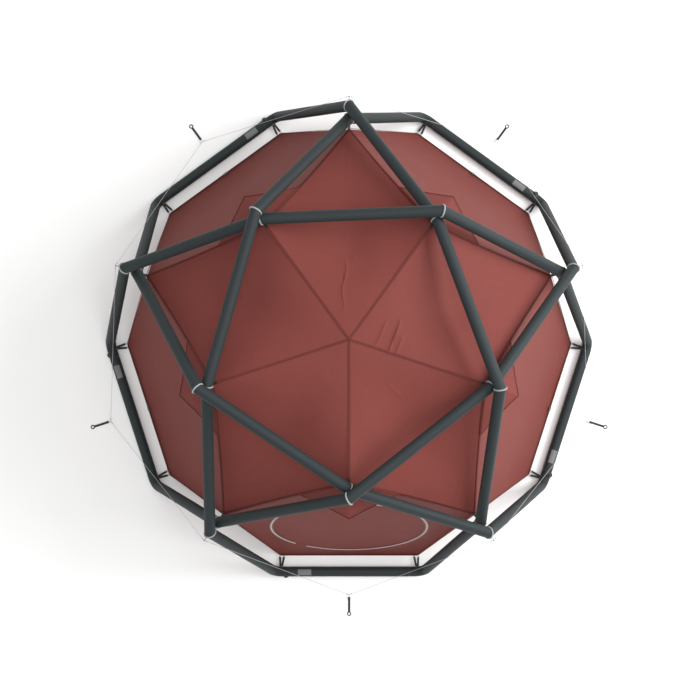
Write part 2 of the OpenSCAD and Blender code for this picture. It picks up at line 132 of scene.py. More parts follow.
class Finishes(bpy.types.PropertyGroup):
    sleeve: colour("Sleeve", (.021, .029, .031), "Woven sleeve of the beams")
    piping: colour("Piping", (.36, .39, .385), "Piping cord at the bends")
    fly: colour("Fly", (.186, .047, .040), "Fly cloth")
    fly_trim: colour("Fly trim", (.140, .034, .029), "Seam tape and hems of the fly")
    webbing: colour("Webbing", (.014, .014, .016), "Straps and loops")
    plastic: colour("Plastic", (.022, .022, .024), "Valves and toggles")
    cord: colour("Cord", (.56, .56, .58), "Guy lines")
    zip: colour("Zip", (.50, .50, .49), "Zip coil and sliders")
    groundsheet: colour("Groundsheet", (.17, .175, .18), "Coated groundsheet")
    mesh: colour("Vent mesh", (.030, .030, .032), "Insect mesh behind the vents")
    patch: colour("Patch", (.17, .18, .18), "Plain sewn patches on the ground beams")
    metal: colour("Metal", (.56, .57, .58), "Rings and eyelets")
    floor: colour("Floor", (.93, .93, .925), "Studio floor")


SETTINGS = {"tent_frame": AirFrameSizes, "tent_fly": FlySizes, "tent_door": DoorSizes,
            "tent_fittings": FittingSizes, "tent_finishes": Finishes}


# ---- where things lie ----

def polar(r, azimuth, z):
    a = radians(azimuth)
    return Vector((r * cos(a), r * sin(a), z))


def turn(azimuth):
    return Matrix.Rotation(radians(azimuth), 4, "Z")


class Layout:
    """Corners, planes and edges of the tent, in metres."""

    def __init__(self, scene):
        f, y, d = scene.tent_frame, scene.tent_fly, scene.tent_door
        self.tube_r = f.tube_d / 2
        self.edge = f.edge
        half_bend, tilt = radians(18), atan((f.tube_d + f.cross_gap) / f.edge)
        self.gap = f.cross_gap / 2
        self.out_r = self.tube_r / cos(half_bend + tilt)
        self.in_r = self.tube_r / cos(half_bend - tilt)
        self.dome_r = PHI * f.edge
        self.top_r = f.edge * sqrt((5 + sqrt(5)) / 10)
        self.top_h = f.edge * sqrt((5 + 2 * sqrt(5)) / 5)
        inner = (self.dome_r - self.gap - 2 * self.in_r - y.hook_gap) / self.dome_r
        self.fly_top_r = self.top_r * inner
        self.fly_top_z = self.top_h * inner + self.tube_r
        self.fly_mid_z = self.top_r * inner + self.tube_r
        self.apothem, self.base_z = y.base_apothem, y.base_z
        rise, run = self.fly_top_z - self.base_z, self.apothem - self.fly_top_r
        self.wall_angle, self.wall_l = atan2(rise, run), hypot(rise, run)
        self.mid_y = (self.fly_mid_z - self.base_z) / sin(self.wall_angle)
        self.fly_mid_r = (self.apothem - self.mid_y * cos(self.wall_angle)) / cos(radians(36))
        self.mid_half = self.fly_mid_r * sin(radians(36))
        self.base_half = self.apothem * tan(radians(18))
        rise, run = self.fly_mid_z - self.base_z, self.apothem - self.fly_mid_r
        self.corner_angle, self.corner_l = atan2(rise, run), hypot(rise, run)
        self.fly_corner_r = self.apothem / cos(radians(18))
        self.apex = Vector((0, 0, y.apex_z))
        self.fill, self.bow = y.roof_fill, y.edge_bow
        self.door_r, self.door_y = d.radius, d.centre
        self.vent_top = self.wall_l - y.hem_w * 2.6
        self.vent_half, self.vent_h = y.vent_half, y.vent_h

    def lifted(self, p, side):
        """Centre of the outer (1) or inner (-1) beam at a crossing."""
        r = self.out_r if side > 0 else self.in_r
        return p * (1 + side * (self.gap + r) / self.dome_r) + UP * self.tube_r

    def top(self, azimuth, side):
        return self.lifted(polar(self.top_r, azimuth, self.top_h), side)

    def mid(self, azimuth, side):
        return self.lifted(polar(self.top_h, azimuth, self.top_r), side)

    def base(self, azimuth):
        return polar(self.dome_r, azimuth, self.tube_r)

    def hoop_corners(self):
        return [self.base(216), self.base(180), self.mid(162, 1), self.top(126, -1), self.top(54, 1),
                self.mid(18, -1), self.base(0), self.base(-36)]

    def fly_top(self, azimuth):
        return polar(self.fly_top_r, azimuth, self.fly_top_z)

    def fly_mid(self, azimuth):
        return polar(self.fly_mid_r, azimuth, self.fly_mid_z)

    def wall(self, azimuth, angle=None):
        """Frame of a wall: X along its base edge, Y up the slope, Z outwards."""
        return (turn(azimuth + 90) @ Matrix.Translation((0, -self.apothem, self.base_z))
                @ Matrix.Rotation(self.wall_angle if angle is None else angle, 4, "X"))

    def ground_beam(self, k):
        """Frame of a ground beam: X along it, Z up, on its axis at one corner."""
        return turn(144 + 72 * k) @ Matrix.Translation(
            (-self.edge / 2, -self.dome_r * cos(radians(18)), self.tube_r))

    def star_edge(self, azimuth, way, t):
        """Roof's edge from the corner at azimuth to the valley 36 degrees on (way 1) or back (-1)."""
        p = self.fly_top(azimuth).lerp(self.fly_mid(azimuth + 36 * way), t)
        inwards = -polar(1, azimuth + 18 * way, 0)
        return p + (inwards * .85 - UP * .3) * self.bow * sin(pi * t)

    def roof(self, azimuth, u, v):
        """Roof panel between two corners and the valley at azimuth; u and v run 0 to 1 from the apex."""
        a, m = self.apex, self.fly_mid(azimuth)
        left, right = self.fly_top(azimuth - 36), self.fly_top(azimuth + 36)
        p = a * ((1 - u) * (1 - v)) + left * (u * (1 - v)) + m * (u * v) + right * ((1 - u) * v)
        p += (self.star_edge(azimuth - 36, 1, v) - left.lerp(m, v)) * u
        p += (self.star_edge(azimuth + 36, -1, u) - right.lerp(m, u)) * v
        p += UP * (self.fill * 16 * u * v * (1 - u) * (1 - v))
        fade = (1 - u ** 6) * (1 - v ** 6)
        return p + UP * (roof_folds(p, azimuth) * fade - .006 * sin(pi * max(u, v)) * (1 - min(u, v)) ** 8)


# Creases in the roof: both ends, depth, half width and how far they wander
CREASES = [((-.018, .470), (-.034, .150), .0034, .009, .008),
           ((-.046, .385), (-.026, .300), -.0020, .009, .003),
           ((.028, .478), (.034, .430), .0012, .008, .002),
           ((.213, .115), (.140, -.049), .0042, .008, .0012),
           ((.288, .115), (.213, -.086), .0085, .008, .0015),
           ((.300, .024), (.255, -.095), .0040, .008, .001),
           ((.268, .035), (.228, -.045), -.0034, .008, .001),
           ((.200, -.222), (.309, -.347), .0014, .010, .004)]
SWAYS, SWAY_START = 9, 40            # how often a crease wanders, and how its first turn varies by place
CREASE_FADE = .6                     # how suddenly a crease begins and ends
SHARP_WIDTH, SHARP_DEPTH = .42, .62  # the sharp line in a crease's middle, as shares of the crease
VALLEY_DEPTH, VALLEY_HALF, VALLEY_AT, VALLEY_LONG = .028, .14, .62, .28


def crease_height(x, y):
    """Height of the creases' broad part at a place on the roof."""
    total = 0.0
    for (x0, y0), (x1, y1), depth, half, wander in CREASES:
        dx, dy = x1 - x0, y1 - y0
        run = hypot(dx, dy)
        t = ((x - x0) * dx + (y - y0) * dy) / run ** 2
        if -.1 < t < 1.1:
            off = ((x - x0) * dy - (y - y0) * dx) / run + wander * sin(t * SWAYS + x0 * SWAY_START)
            if abs(off) < 4 * half:
                ends = max(0, sin(pi * min(1, max(0, t)))) ** CREASE_FADE
                total += depth * ends * exp(-(off / half) ** 2)
    return total


def roof_folds(p, azimuth):
    """Height of the roof's creases, the folds at its outer corners and its slow unevenness."""
    a = radians(azimuth)
    along, across = p.x * cos(a) + p.y * sin(a), p.y * cos(a) - p.x * sin(a)
    wander = noise.noise(Vector((along * 5, across * 9, azimuth))) * 1.6
    outer = exp(-((along - 1.08) / .16) ** 2 - (across / .05) ** 2)
    gather = sin(2 * pi * across / .046 + 1 + wander) * .0014 * outer
    valley = (-VALLEY_DEPTH * exp(-(across / VALLEY_HALF) ** 2)
              * exp(-((along - VALLEY_AT) / VALLEY_LONG) ** 2))
    slow = noise.noise(Vector((p.x * 2.1, p.y * 2.1, 3.7))) * .006
    fine = noise.noise(Vector((p.x * 9, p.y * 9, 1.3))) * .0012
    return crease_height(p.x, p.y) + gather + valley + slow + fine


# ---- building helpers ----

MERGE = 1e-5                         # points nearer than this are one
TUBE_SIDES = 44                      # sides of an inflated beam
STITCH = []                          # one stitch's mesh, made at its first use


def spread(a, b, n):
    """n + 1 evenly spaced values from a to b."""
    return [a + (b - a) * i / n for i in range(n + 1)]


def extruded(bm, edges):
    """Extrudes a rim; returns its new vertices and the new rim."""
    geom = bmesh.ops.extrude_edge_only(bm, edges=edges)["geom"]
    new = [g for g in geom if isinstance(g, bmesh.types.BMVert)]
    inside = set(new)
    return new, [g for g in geom if isinstance(g, bmesh.types.BMEdge) and inside.issuperset(g.verts)]


def axis_frame(centre, x, y):
    """Matrix that takes the unit circle to the ring with half axes x and y."""
    m = Matrix((x, y, x.cross(y).normalized())).transposed().to_4x4()
    m.translation = centre
    return m


def layers(bm):
    """Two lengths stored with each vertex: round or across a piece, and along it."""
    f = bm.verts.layers.float
    return f.get("across") or f.new("across"), f.get("along") or f.new("along")


def sweep(bm, stations, sides=12, square=1.0, closed=False, caps=True, width=1.0):
    """Extrudes a ring through stations, each a centre and two half axes. square under 1 flattens it."""
    across, along = layers(bm)
    ring = bmesh.ops.create_circle(bm, cap_ends=False, radius=1, segments=sides)["verts"]
    for v in ring:
        v[across] = (atan2(v.co.y, v.co.x) / (2 * pi)) % 1.0 * width
        v[along] = 0
        if square != 1.0:
            v.co.x = copysign(abs(v.co.x) ** square, v.co.x)
            v.co.y = copysign(abs(v.co.y) ** square, v.co.y)
    frames = [axis_frame(*s) for s in stations]
    bmesh.ops.transform(bm, matrix=frames[0], verts=ring)
    edges = list({e for v in ring for e in v.link_edges})
    first, made, run = edges, list(ring), 0.0
    for before, after in zip(frames, frames[1:]):
        ring, edges = extruded(bm, edges)
        bmesh.ops.transform(bm, matrix=after @ before.inverted(), verts=ring)
        run += (after.translation - before.translation).length
        for v in ring:
            v[along] = run
        made += ring
    if closed:
        bmesh.ops.bridge_loops(bm, edges=first + edges)
    elif caps:
        bmesh.ops.contextual_create(bm, geom=first)
        bmesh.ops.contextual_create(bm, geom=edges)
    return made


def frames_along(points, side_half, rise_half, up=UP):
    """Stations along a smooth route. side_half and rise_half may be lists; up may be one per point."""
    n = len(points)
    out = []
    for i, p in enumerate(points):
        way = (points[min(i + 1, n - 1)] - points[max(i - 1, 0)]).normalized()
        u = up[i] if isinstance(up, list) else up
        side = way.cross(u).normalized()
        w = side_half[i] if isinstance(side_half, list) else side_half
        h = rise_half[i] if isinstance(rise_half, list) else rise_half
        out.append((p, side * w, side.cross(way).normalized() * h))
    return out


def ribbon(bm, points, width, thickness, up=UP, lift=True):
    """Flat webbing along points. With lift its underside lies on them."""
    ups = up if isinstance(up, list) else [up] * len(points)
    if lift:
        points = [p + u * (thickness / 2) for p, u in zip(points, ups)]
    return sweep(bm, frames_along(points, width / 2, thickness / 2, ups), sides=12, square=.25,
                 width=2 * width)


def rod(bm, points, radius, sides=10, up=UP):
    return sweep(bm, frames_along(points, radius, radius, up), sides=sides, width=2 * pi * .002)


def curve_through(points, steps):
    """Smooth route through points, steps parts to each stretch."""
    pts = [points[0]] + list(points) + [points[-1]]
    out = []
    for a, b, c, d in zip(pts, pts[1:], pts[2:], pts[3:]):
        for i in range(steps):
            t = i / steps
            out.append((b * 2 + (c - a) * t + (a * 2 - b * 5 + c * 4 - d) * t ** 2
                        + (b * 3 - a - c * 3 + d) * t ** 3) / 2)
    return out + [points[-1]]


def torus(bm, centre, normal, major, minor, sides=10, steps=28, flat=1.0):
    """Ring round normal."""
    n = normal.normalized()
    x = n.orthogonal().normalized()
    y = n.cross(x)
    stations = []
    for i in range(steps):
        a = 2 * pi * i / steps
        out = x * cos(a) + y * sin(a)
        stations.append((centre + out * major, out * minor, n * minor * flat))
    return sweep(bm, stations, sides=sides, closed=True, width=2 * pi * minor)


def lathe(bm, profile, place, steps=40):
    """Solid of revolution about Z from (radius, height) pairs, put where place says."""
    across, along = layers(bm)
    verts = [bm.verts.new((r, 0, z)) for r, z in profile]
    for v, (r, z) in zip(verts, profile):
        v[along] = z + r
    edges = [bm.edges.new(pair) for pair in zip(verts, verts[1:])]
    made = bmesh.ops.spin(bm, geom=verts + edges, cent=(0, 0, 0), axis=(0, 0, 1), dvec=(0, 0, 0),
                          angle=2 * pi, steps=steps, use_merge=True, use_duplicate=False)
    seen, todo = set(verts), list(verts)
    while todo:
        for e in todo.pop().link_edges:
            for v in e.verts:
                if v not in seen:
                    seen.add(v)
                    todo.append(v)
    bmesh.ops.remove_doubles(bm, verts=list(seen), dist=1e-6)
    seen = [v for v in seen if v.is_valid]
    bmesh.ops.transform(bm, matrix=place, verts=seen)
    return seen


def block(bm, size, place, bevel=.0008):
    """Box with rounded edges, centred on place."""
    made = bmesh.ops.create_cube(bm, size=1)["verts"]
    bmesh.ops.scale(bm, vec=size, verts=made)
    edges = list({e for v in made for e in v.link_edges})
    got = bmesh.ops.bevel(bm, geom=edges, offset=bevel, offset_type="OFFSET", segments=3, profile=.5,
                          affect="EDGES", material=-1)
    verts = list({v for f in got["faces"] for v in f.verts} | {v for v in made if v.is_valid})
    bmesh.ops.transform(bm, matrix=place, verts=verts)
    return verts


def grid(bm, nu, nv, place):
    """Grid of nu by nv cells with every vertex put at place(u, v); returns them."""
    across, along = layers(bm)
    made = bmesh.ops.create_grid(bm, x_segments=nu, y_segments=nv, size=.5)["verts"]
    for v in made:
        u, w = v.co.x + .5, v.co.y + .5
        v.co, v[across], v[along] = place(min(max(u, 0), 1), min(max(w, 0), 1))
    return made


def stitch_row(bm, points, normals, pitch=.006, length=.0038, radius=.0005):
    """A row of short raised stitches along points."""
    if not STITCH:
        small = bmesh.new()
        sweep(small, [(Vector((x, 0, 0)), Vector((0, r, 0)), Vector((0, 0, r)))
                      for x, r in ((-.5, .35), (-.3, 1), (.3, 1), (.5, .35))], sides=5)
        mesh = bpy.data.meshes.new("stitch")
        small.to_mesh(mesh)
        small.free()
        STITCH.append(mesh)
    run, step = 0.0, pitch / 2
    row = bpy.data.meshes.new("row")
    for i in range(len(points) - 1):
        a, b = points[i], points[i + 1]
        reach = (b - a).length
        way = (b - a).normalized()
        n = normals[i] if isinstance(normals, list) else normals
        side = n.cross(way).normalized()
        while step < run + reach:
            one = bmesh.new()
            one.from_mesh(STITCH[0])
            m = Matrix((way * length, side * radius, side.cross(way) * -radius)).transposed().to_4x4()
            m.translation = a.lerp(b, (step - run) / reach) + n * radius * .4
            bmesh.ops.transform(one, matrix=m, verts=one.verts)
            one.to_mesh(row)
            one.free()
            bm.from_mesh(row)
            step += pitch
        run += reach
    bpy.data.meshes.remove(row)


def piece(bm, name, material, body="frame", replaces=(), wrap=0.0, thickness=0.0,
          outwards=None, crease=50, recalc=True):
    """Turns a bmesh into a finished piece that rides on body."""
    across, along = layers(bm)
    if recalc:
        bmesh.ops.recalc_face_normals(bm, faces=bm.faces)
    if outwards is not None:
        facing = sum((f.normal.dot(outwards(f.calc_center_median())) * f.calc_area() for f in bm.faces))
        if facing < 0:
            bmesh.ops.reverse_faces(bm, faces=bm.faces)
    uv = bm.loops.layers.uv.new("UVMap")
    for f in bm.faces:
        turns = [loop.vert[across] for loop in f.loops]
        wraps = wrap > 0 and max(turns) - min(turns) > wrap / 2
        for loop, t in zip(f.loops, turns):
            loop[uv].uv = (t + wrap if wraps and t < wrap / 2 else t, loop.vert[along])
    for layer in ("across", "along"):
        bm.verts.layers.float.remove(bm.verts.layers.float[layer])
    mesh = bpy.data.meshes.new(name)
    bm.to_mesh(mesh)
    bm.free()
    mesh.materials.append(material)
    mesh.polygons.foreach_set("use_smooth", [True] * len(mesh.polygons))
    mesh.set_sharp_from_angle(angle=radians(crease))
    obj = bpy.data.objects.new(name, mesh)
    bpy.context.scene.collection.objects.link(obj)
    if thickness:
        shell = obj.modifiers.new("cloth thickness", "SOLIDIFY")
        shell.thickness, shell.offset = thickness, -1
    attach(obj, body)
    if replaces:
        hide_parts(*replaces)
    return obj


# ---- materials ----

def blank(name, shade, rough, **sockets):
    """Material with one shader; extra sockets are constants on it."""
    mat = bpy.data.materials.new(name)
    mat.use_nodes = True
    tree = mat.node_tree
    tree.nodes.clear()
    out = tree.nodes.new("ShaderNodeOutputMaterial")
    shader = tree.nodes.new("ShaderNodeBsdfPrincipled")
    tree.links.new(shader.outputs["BSDF"], out.inputs["Surface"])
    shader.inputs["Base Color"].default_value = (*shade, 1)
    shader.inputs["Roughness"].default_value = rough
    for socket, value in sockets.items():
        shader.inputs[socket.replace("_", " ")].default_value = value
    mat.diffuse_color = (*shade, 1)
    return mat, tree, shader


def node(tree, kind, **settings):
    """New shader node; in_0 and so on are its numbered inputs."""
    made = tree.nodes.new(kind)
    for key, value in settings.items():
        if key.startswith("in_"):
            made.inputs[int(key[3:])].default_value = value
        else:
            setattr(made, key, value)
    return made


def maths(tree, operation, a, b=None):
    """One step of arithmetic on sockets or numbers."""
    made = node(tree, "ShaderNodeMath", operation=operation)
    for i, x in enumerate((a, b)):
        if x is None:
            continue
        if isinstance(x, (int, float)):
            made.inputs[i].default_value = x
        else:
            tree.links.new(x, made.inputs[i])
    return made.outputs[0]


def blended(tree, factor, a, b):
    """Colour between a and b, by factor."""
    mix = node(tree, "ShaderNodeMix", data_type="RGBA")
    tree.links.new(factor, mix.inputs[0])
    for socket, x in ((6, a), (7, b)):
        if isinstance(x, tuple):
            mix.inputs[socket].default_value = (*x, 1)
        else:
            tree.links.new(x, mix.inputs[socket])
    return mix.outputs[2]


def noise_of(tree, source, scale, detail=3.0, rough=.55):
    n = node(tree, "ShaderNodeTexNoise")
    n.inputs["Scale"].default_value = scale
    n.inputs["Detail"].default_value = detail
    n.inputs["Roughness"].default_value = rough
    tree.links.new(source, n.inputs["Vector"])
    return n.outputs[0]


def ranged(tree, source, low, high):
    """Stretches a value from 0 to 1 so that it runs from low to high."""
    m = node(tree, "ShaderNodeMapRange")
    m.inputs["To Min"].default_value = low
    m.inputs["To Max"].default_value = high
    tree.links.new(source, m.inputs["Value"])
    return m.outputs[0]


def bumped(tree, height, strength, distance, under=None):
    """Normal of a relief, on top of the one under it."""
    b = node(tree, "ShaderNodeBump", in_0=strength, in_1=distance)
    tree.links.new(height, b.inputs["Height"])
    if under is not None:
        tree.links.new(under, b.inputs["Normal"])
    return b.outputs[0]


def shades(shade, low, high):
    """A darker and a lighter one of the same colour."""
    return tuple(c * low for c in shade), tuple(min(1, c * high) for c in shade)


def threads(tree, source, pitch, direction):
    """Wave across one set of threads, one crest each pitch metres."""
    w = node(tree, "ShaderNodeTexWave", wave_type="BANDS", bands_direction=direction, wave_profile="SIN")
    w.inputs["Scale"].default_value = pi / 10 / pitch
    tree.links.new(source, w.inputs["Vector"])
    return w.outputs[1]


def crease_lines(tree, place, creases):
    """Height of thin creases: a bell across each line, fading out towards both ends."""
    total = None
    for (x0, y0), (x1, y1), depth, half, wander in creases:
        sharp = half * SHARP_WIDTH
        m = node(tree, "ShaderNodeMapping", vector_type="TEXTURE")
        m.inputs["Location"].default_value = (x0, y0, 0)
        m.inputs["Rotation"].default_value = (0, 0, atan2(y1 - y0, x1 - x0))
        m.inputs["Scale"].default_value = (hypot(x1 - x0, y1 - y0), sharp, 1)
        tree.links.new(place, m.inputs["Vector"])
        split = node(tree, "ShaderNodeSeparateXYZ")
        tree.links.new(m.outputs[0], split.inputs[0])
        along, across = split.outputs[0], split.outputs[1]
        sway = maths(tree, "SINE", maths(tree, "ADD", maths(tree, "MULTIPLY", along, SWAYS), x0 * SWAY_START))
        off = maths(tree, "SUBTRACT", across, maths(tree, "MULTIPLY", sway, wander / sharp))
        bell = maths(tree, "EXPONENT", maths(tree, "MULTIPLY", maths(tree, "MULTIPLY", off, off), -1.0))
        rest = maths(tree, "SUBTRACT", 1.0, along)
        inside = maths(tree, "MULTIPLY", maths(tree, "MULTIPLY", along, rest), 4.0)
        fade = maths(tree, "POWER", maths(tree, "MAXIMUM", inside, 0.0), CREASE_FADE)
        one = maths(tree, "MULTIPLY", maths(tree, "MULTIPLY", bell, fade), depth * SHARP_DEPTH)
        total = one if total is None else maths(tree, "ADD", total, one)
    return total


def cloth(name, shade, pitch=.0012, grid_pitch=0.0, rough=.78, blotch=.12, weave=.25, depth=.0002,
          crumple=0.0, crumple_scale=14.0, sheen=.25, coords="UV", warp_only=False, creases=(),
          **sockets):
    """Woven fabric: threads both ways, an optional heavier grid, slow patchiness and soft crumples, with
    painted shade in the hollows between threads and a painted highlight on their crests.
    """
    mat, tree, shader = blank(name, shade, rough, Sheen_Weight=sheen, Sheen_Roughness=.5, **sockets)
    where = node(tree, "ShaderNodeTexCoord")
    surface, place = where.outputs[coords], where.outputs["Object"]
    warp = threads(tree, surface, pitch, "X")
    weft = warp if warp_only else threads(tree, surface, pitch, "Y")
    height = maths(tree, "MULTIPLY", warp, weft)
    slow = noise_of(tree, place, 3.2, 4)
    fine = noise_of(tree, place, 60, 2)
    patchy = blended(tree, slow, *shades(shade, 1 - blotch, 1 + blotch))
    speck = blended(tree, fine, *shades(shade, .86, 1.14))
    half = node(tree, "ShaderNodeMix", data_type="RGBA", in_0=.45)
    tree.links.new(patchy, half.inputs[6])
    tree.links.new(speck, half.inputs[7])
    # painted shade and highlight: the colour is multiplied by the weave's relief height, so it is darker in
    # the hollows between threads and lighter on their crests; weave sets how strong it is
    thread_shaded = node(tree, "ShaderNodeMix", data_type="RGBA", blend_type="MULTIPLY", in_0=1.0)
    tree.links.new(half.outputs[2], thread_shaded.inputs[6])
    tree.links.new(ranged(tree, height, 1 - weave, 1 + weave * .45), thread_shaded.inputs[7])
    tree.links.new(thread_shaded.outputs[2], shader.inputs["Base Color"])
    if grid_pitch:
        ribs = maths(tree, "MAXIMUM", threads(tree, surface, grid_pitch, "X"),
                     threads(tree, surface, grid_pitch, "Y"))
        height = maths(tree, "ADD", height, maths(tree, "MULTIPLY", maths(tree, "POWER", ribs, 24.0), 1.2))
    relief = bumped(tree, height, .6, depth)
    if crumple:
        relief = bumped(tree, noise_of(tree, place, crumple_scale, 5, .5), .5, crumple, relief)
    if creases:
        relief = bumped(tree, crease_lines(tree, place, creases), 1.0, 1.0, relief)
    tree.links.new(relief, shader.inputs["Normal"])
    tree.links.new(ranged(tree, slow, rough - .09, min(1, rough + .09)), shader.inputs["Roughness"])
    return mat


def moulded(name, shade, rough=.42, grain=.00012, worn=.25, metallic=0.0, scale=900.0):
    """Moulded plastic or brushed metal: fine grain, scuffs and slightly uneven gloss."""
    mat, tree, shader = blank(name, shade, rough, Metallic=metallic)
    where = node(tree, "ShaderNodeTexCoord").outputs["Object"]
    fine, scuff = noise_of(tree, where, scale, 2), noise_of(tree, where, 55, 6, .7)
    tree.links.new(blended(tree, scuff, shade, tuple(min(1, c * (1 + worn) + .01) for c in shade)),
                   shader.inputs["Base Color"])
    tree.links.new(ranged(tree, scuff, max(.05, rough - .12), min(1, rough + .15)),
                   shader.inputs["Roughness"])
    tree.links.new(bumped(tree, fine, .4, grain), shader.inputs["Normal"])
    return mat


def zip_finish(name, shade, tape_shade, centre, radius, half):
    """Woven tape with a paler coil where the two sides meet, by the distance from the door's centre."""
    mat, tree, shader = blank(name, shade, .5)
    where = node(tree, "ShaderNodeTexCoord").outputs["Object"]
    away = node(tree, "ShaderNodeVectorMath", operation="DISTANCE")
    tree.links.new(where, away.inputs[0])
    away.inputs[1].default_value = centre
    off = maths(tree, "ABSOLUTE", maths(tree, "SUBTRACT", away.outputs["Value"], radius))
    coil = maths(tree, "LESS_THAN", off, half)
    grain = noise_of(tree, where, 700, 2)
    tape = blended(tree, grain, *shades(tape_shade, .8, 1.2))
    teeth = blended(tree, grain, *shades(shade, .85, 1.1))
    tree.links.new(blended(tree, coil, tape, teeth), shader.inputs["Base Color"])
    tree.links.new(bumped(tree, grain, .6, .0004), shader.inputs["Normal"])
    return mat


def net(name, shade, pitch=.0022):
    """Fine mesh: pale crossing threads, with painted shade in the holes between them for the shaded inside of
    the tent seen through.
    """
    mat, tree, shader = blank(name, shade, .85)
    where = node(tree, "ShaderNodeTexCoord").outputs["Object"]
    lines = maths(tree, "MAXIMUM", threads(tree, where, pitch, "X"), threads(tree, where, pitch, "Z"))
    sharp = maths(tree, "POWER", lines, 4.0)
    # painted shade: the holes are coloured at .4 of the mesh colour for the shaded inside seen through them,
    # and the threads at 2.2 times it
    tree.links.new(blended(tree, sharp, *shades(shade, .4, 2.2)), shader.inputs["Base Color"])
    tree.links.new(bumped(tree, sharp, .8, .0004), shader.inputs["Normal"])
    return mat


FLY_CLOTH = dict(pitch=.0008, grid_pitch=.006, rough=.56, blotch=.09, weave=.12, depth=.00012,
                 crumple=.0035, crumple_scale=7, sheen=0, Specular_IOR_Level=.07)
THREAD = dict(pitch=.0006, rough=.6, warp_only=True, coords="Object")
# Each finish: what makes it, its colour's name, how much lighter it is, and its settings
FINISH_RECIPES = {
    "sleeve weave": (cloth, "sleeve", 1, dict(pitch=.0016, rough=.62, blotch=.10, weave=.22, depth=.00025,
                                              crumple=.0012, crumple_scale=22, sheen=.03,
                                              Specular_IOR_Level=.28)),
    "piping cord": (cloth, "piping", 1, dict(pitch=.0015, rough=.6, blotch=.15, weave=.35, depth=.0003,
                                             sheen=.1)),
    "roof cloth": (cloth, "fly", 1, dict(creases=CREASES, **FLY_CLOTH)),
    "fly cloth": (cloth, "fly", 1, FLY_CLOTH),
    "fly trim": (cloth, "fly_trim", 1, dict(pitch=.0009, rough=.7, blotch=.12, weave=.25, depth=.0002,
                                            sheen=0, Specular_IOR_Level=.07)),
    "fly thread": (cloth, "fly_trim", 1.25, THREAD),
    "webbing": (cloth, "webbing", 1, dict(pitch=.0018, rough=.7, blotch=.25, weave=.55, depth=.0005,
                                          sheen=.3)),
    "black thread": (cloth, "webbing", 2.4, THREAD),
    "webbing core": (cloth, "webbing", 1, dict(pitch=.0018, rough=.75, coords="Object")),
    "guy cord": (cloth, "cord", 1, dict(pitch=.0011, rough=.6, blotch=.12, weave=.4, depth=.0003, sheen=.1)),
    "groundsheet": (cloth, "groundsheet", 1, dict(pitch=.0011, rough=.5, blotch=.1, weave=.15,
                                                  depth=.0002, crumple=.003, crumple_scale=9)),
    "patch": (cloth, "patch", 1, dict(pitch=.0009, rough=.7, blotch=.06, weave=.2, depth=.0002,
                                      coords="Object")),
    "vent net": (net, "mesh", 1, {}),
    "black plastic": (moulded, "plastic", 1, {}),
    "zip teeth": (moulded, "zip", 1, dict(rough=.5, worn=.1)),
    "zip metal": (moulded, "zip", .8, dict(rough=.34, metallic=.85)),
    "ring metal": (moulded, "metal", 1, dict(rough=.28, metallic=1.0)),
}
MADE = {}


def finish(context, name):
    """Material by its plain name, made on first use."""
    if name not in MADE:
        make, shade, lighter, settings = FINISH_RECIPES[name]
        start = getattr(context.scene.tent_finishes, shade)
        MADE[name] = make(name, tuple(x * lighter for x in start), **settings)
    return MADE[name]


def dress(names, material):
    """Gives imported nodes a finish."""
    for n in names:
        mesh = NODES[n].data
        mesh.materials.clear()
        mesh.materials.append(material)


# ---- stage, camera and lights ----

class TENT_OT_stage(bpy.types.Operator):
    """Adds the plain floor, the soft lights and the camera straight above"""
    bl_idname = "tent.stage"
    bl_label = "Stage"

    def execute(self, context):
        scene = context.scene
        bm = bmesh.new()
        bmesh.ops.create_grid(bm, x_segments=24, y_segments=24, size=14)
        bmesh.ops.translate(bm, vec=(0, 0, -.0005), verts=bm.verts)
        mesh = bpy.data.meshes.new("floor")
        bm.to_mesh(mesh)
        bm.free()
        shade = tuple(scene.tent_finishes.floor)
        mat, tree, shader = blank("floor", shade, .9)
        where = node(tree, "ShaderNodeTexCoord").outputs["Object"]
        tree.links.new(blended(tree, noise_of(tree, where, 2.5, 4), tuple(x * .99 for x in shade), shade),
                       shader.inputs["Base Color"])
        mesh.materials.append(mat)
        floor = bpy.data.objects.new("floor", mesh)
        scene.collection.objects.link(floor)
        world = bpy.data.worlds.new("studio")
        scene.world = world
        world.use_nodes = True
        world.node_tree.nodes["Background"].inputs[0].default_value = (1, 1, 1, 1)
        world.node_tree.nodes["Background"].inputs[1].default_value = .74
        for name, at, aim, size, power in (
                ("right key", (6.5, 1.4, 5.2), (0, 0, .6), 4.6, 640),
                ("top fill", (1.5, -.5, 10.5), (0, 0, .5), 6.0, 330),
                ("left fill", (-7.5, -2.5, 5.0), (0, 0, .6), 5.0, 30)):
            lamp = bpy.data.lights.new(name, "AREA")
            lamp.size, lamp.energy = size, power
            obj = bpy.data.objects.new(name, lamp)
            obj.location = at
            obj.rotation_euler = (Vector(aim) - Vector(at)).to_track_quat("-Z", "Y").to_euler()
            scene.collection.objects.link(obj)
        scene.view_settings.view_transform = "Standard"
        eye = bpy.data.cameras.new("camera")
        eye.lens, eye.sensor_width = 56.35, 36
        eye.clip_end = 100
        camera = bpy.data.objects.new("camera", eye)
        camera.location = (.0057, -.1257, 7.4514)
        camera.rotation_euler = (.0112, 0, 0)
        scene.collection.objects.link(camera)
        scene.camera = camera
        return {"FINISHED"}


# ---- guy lines, rings and peg straps ----

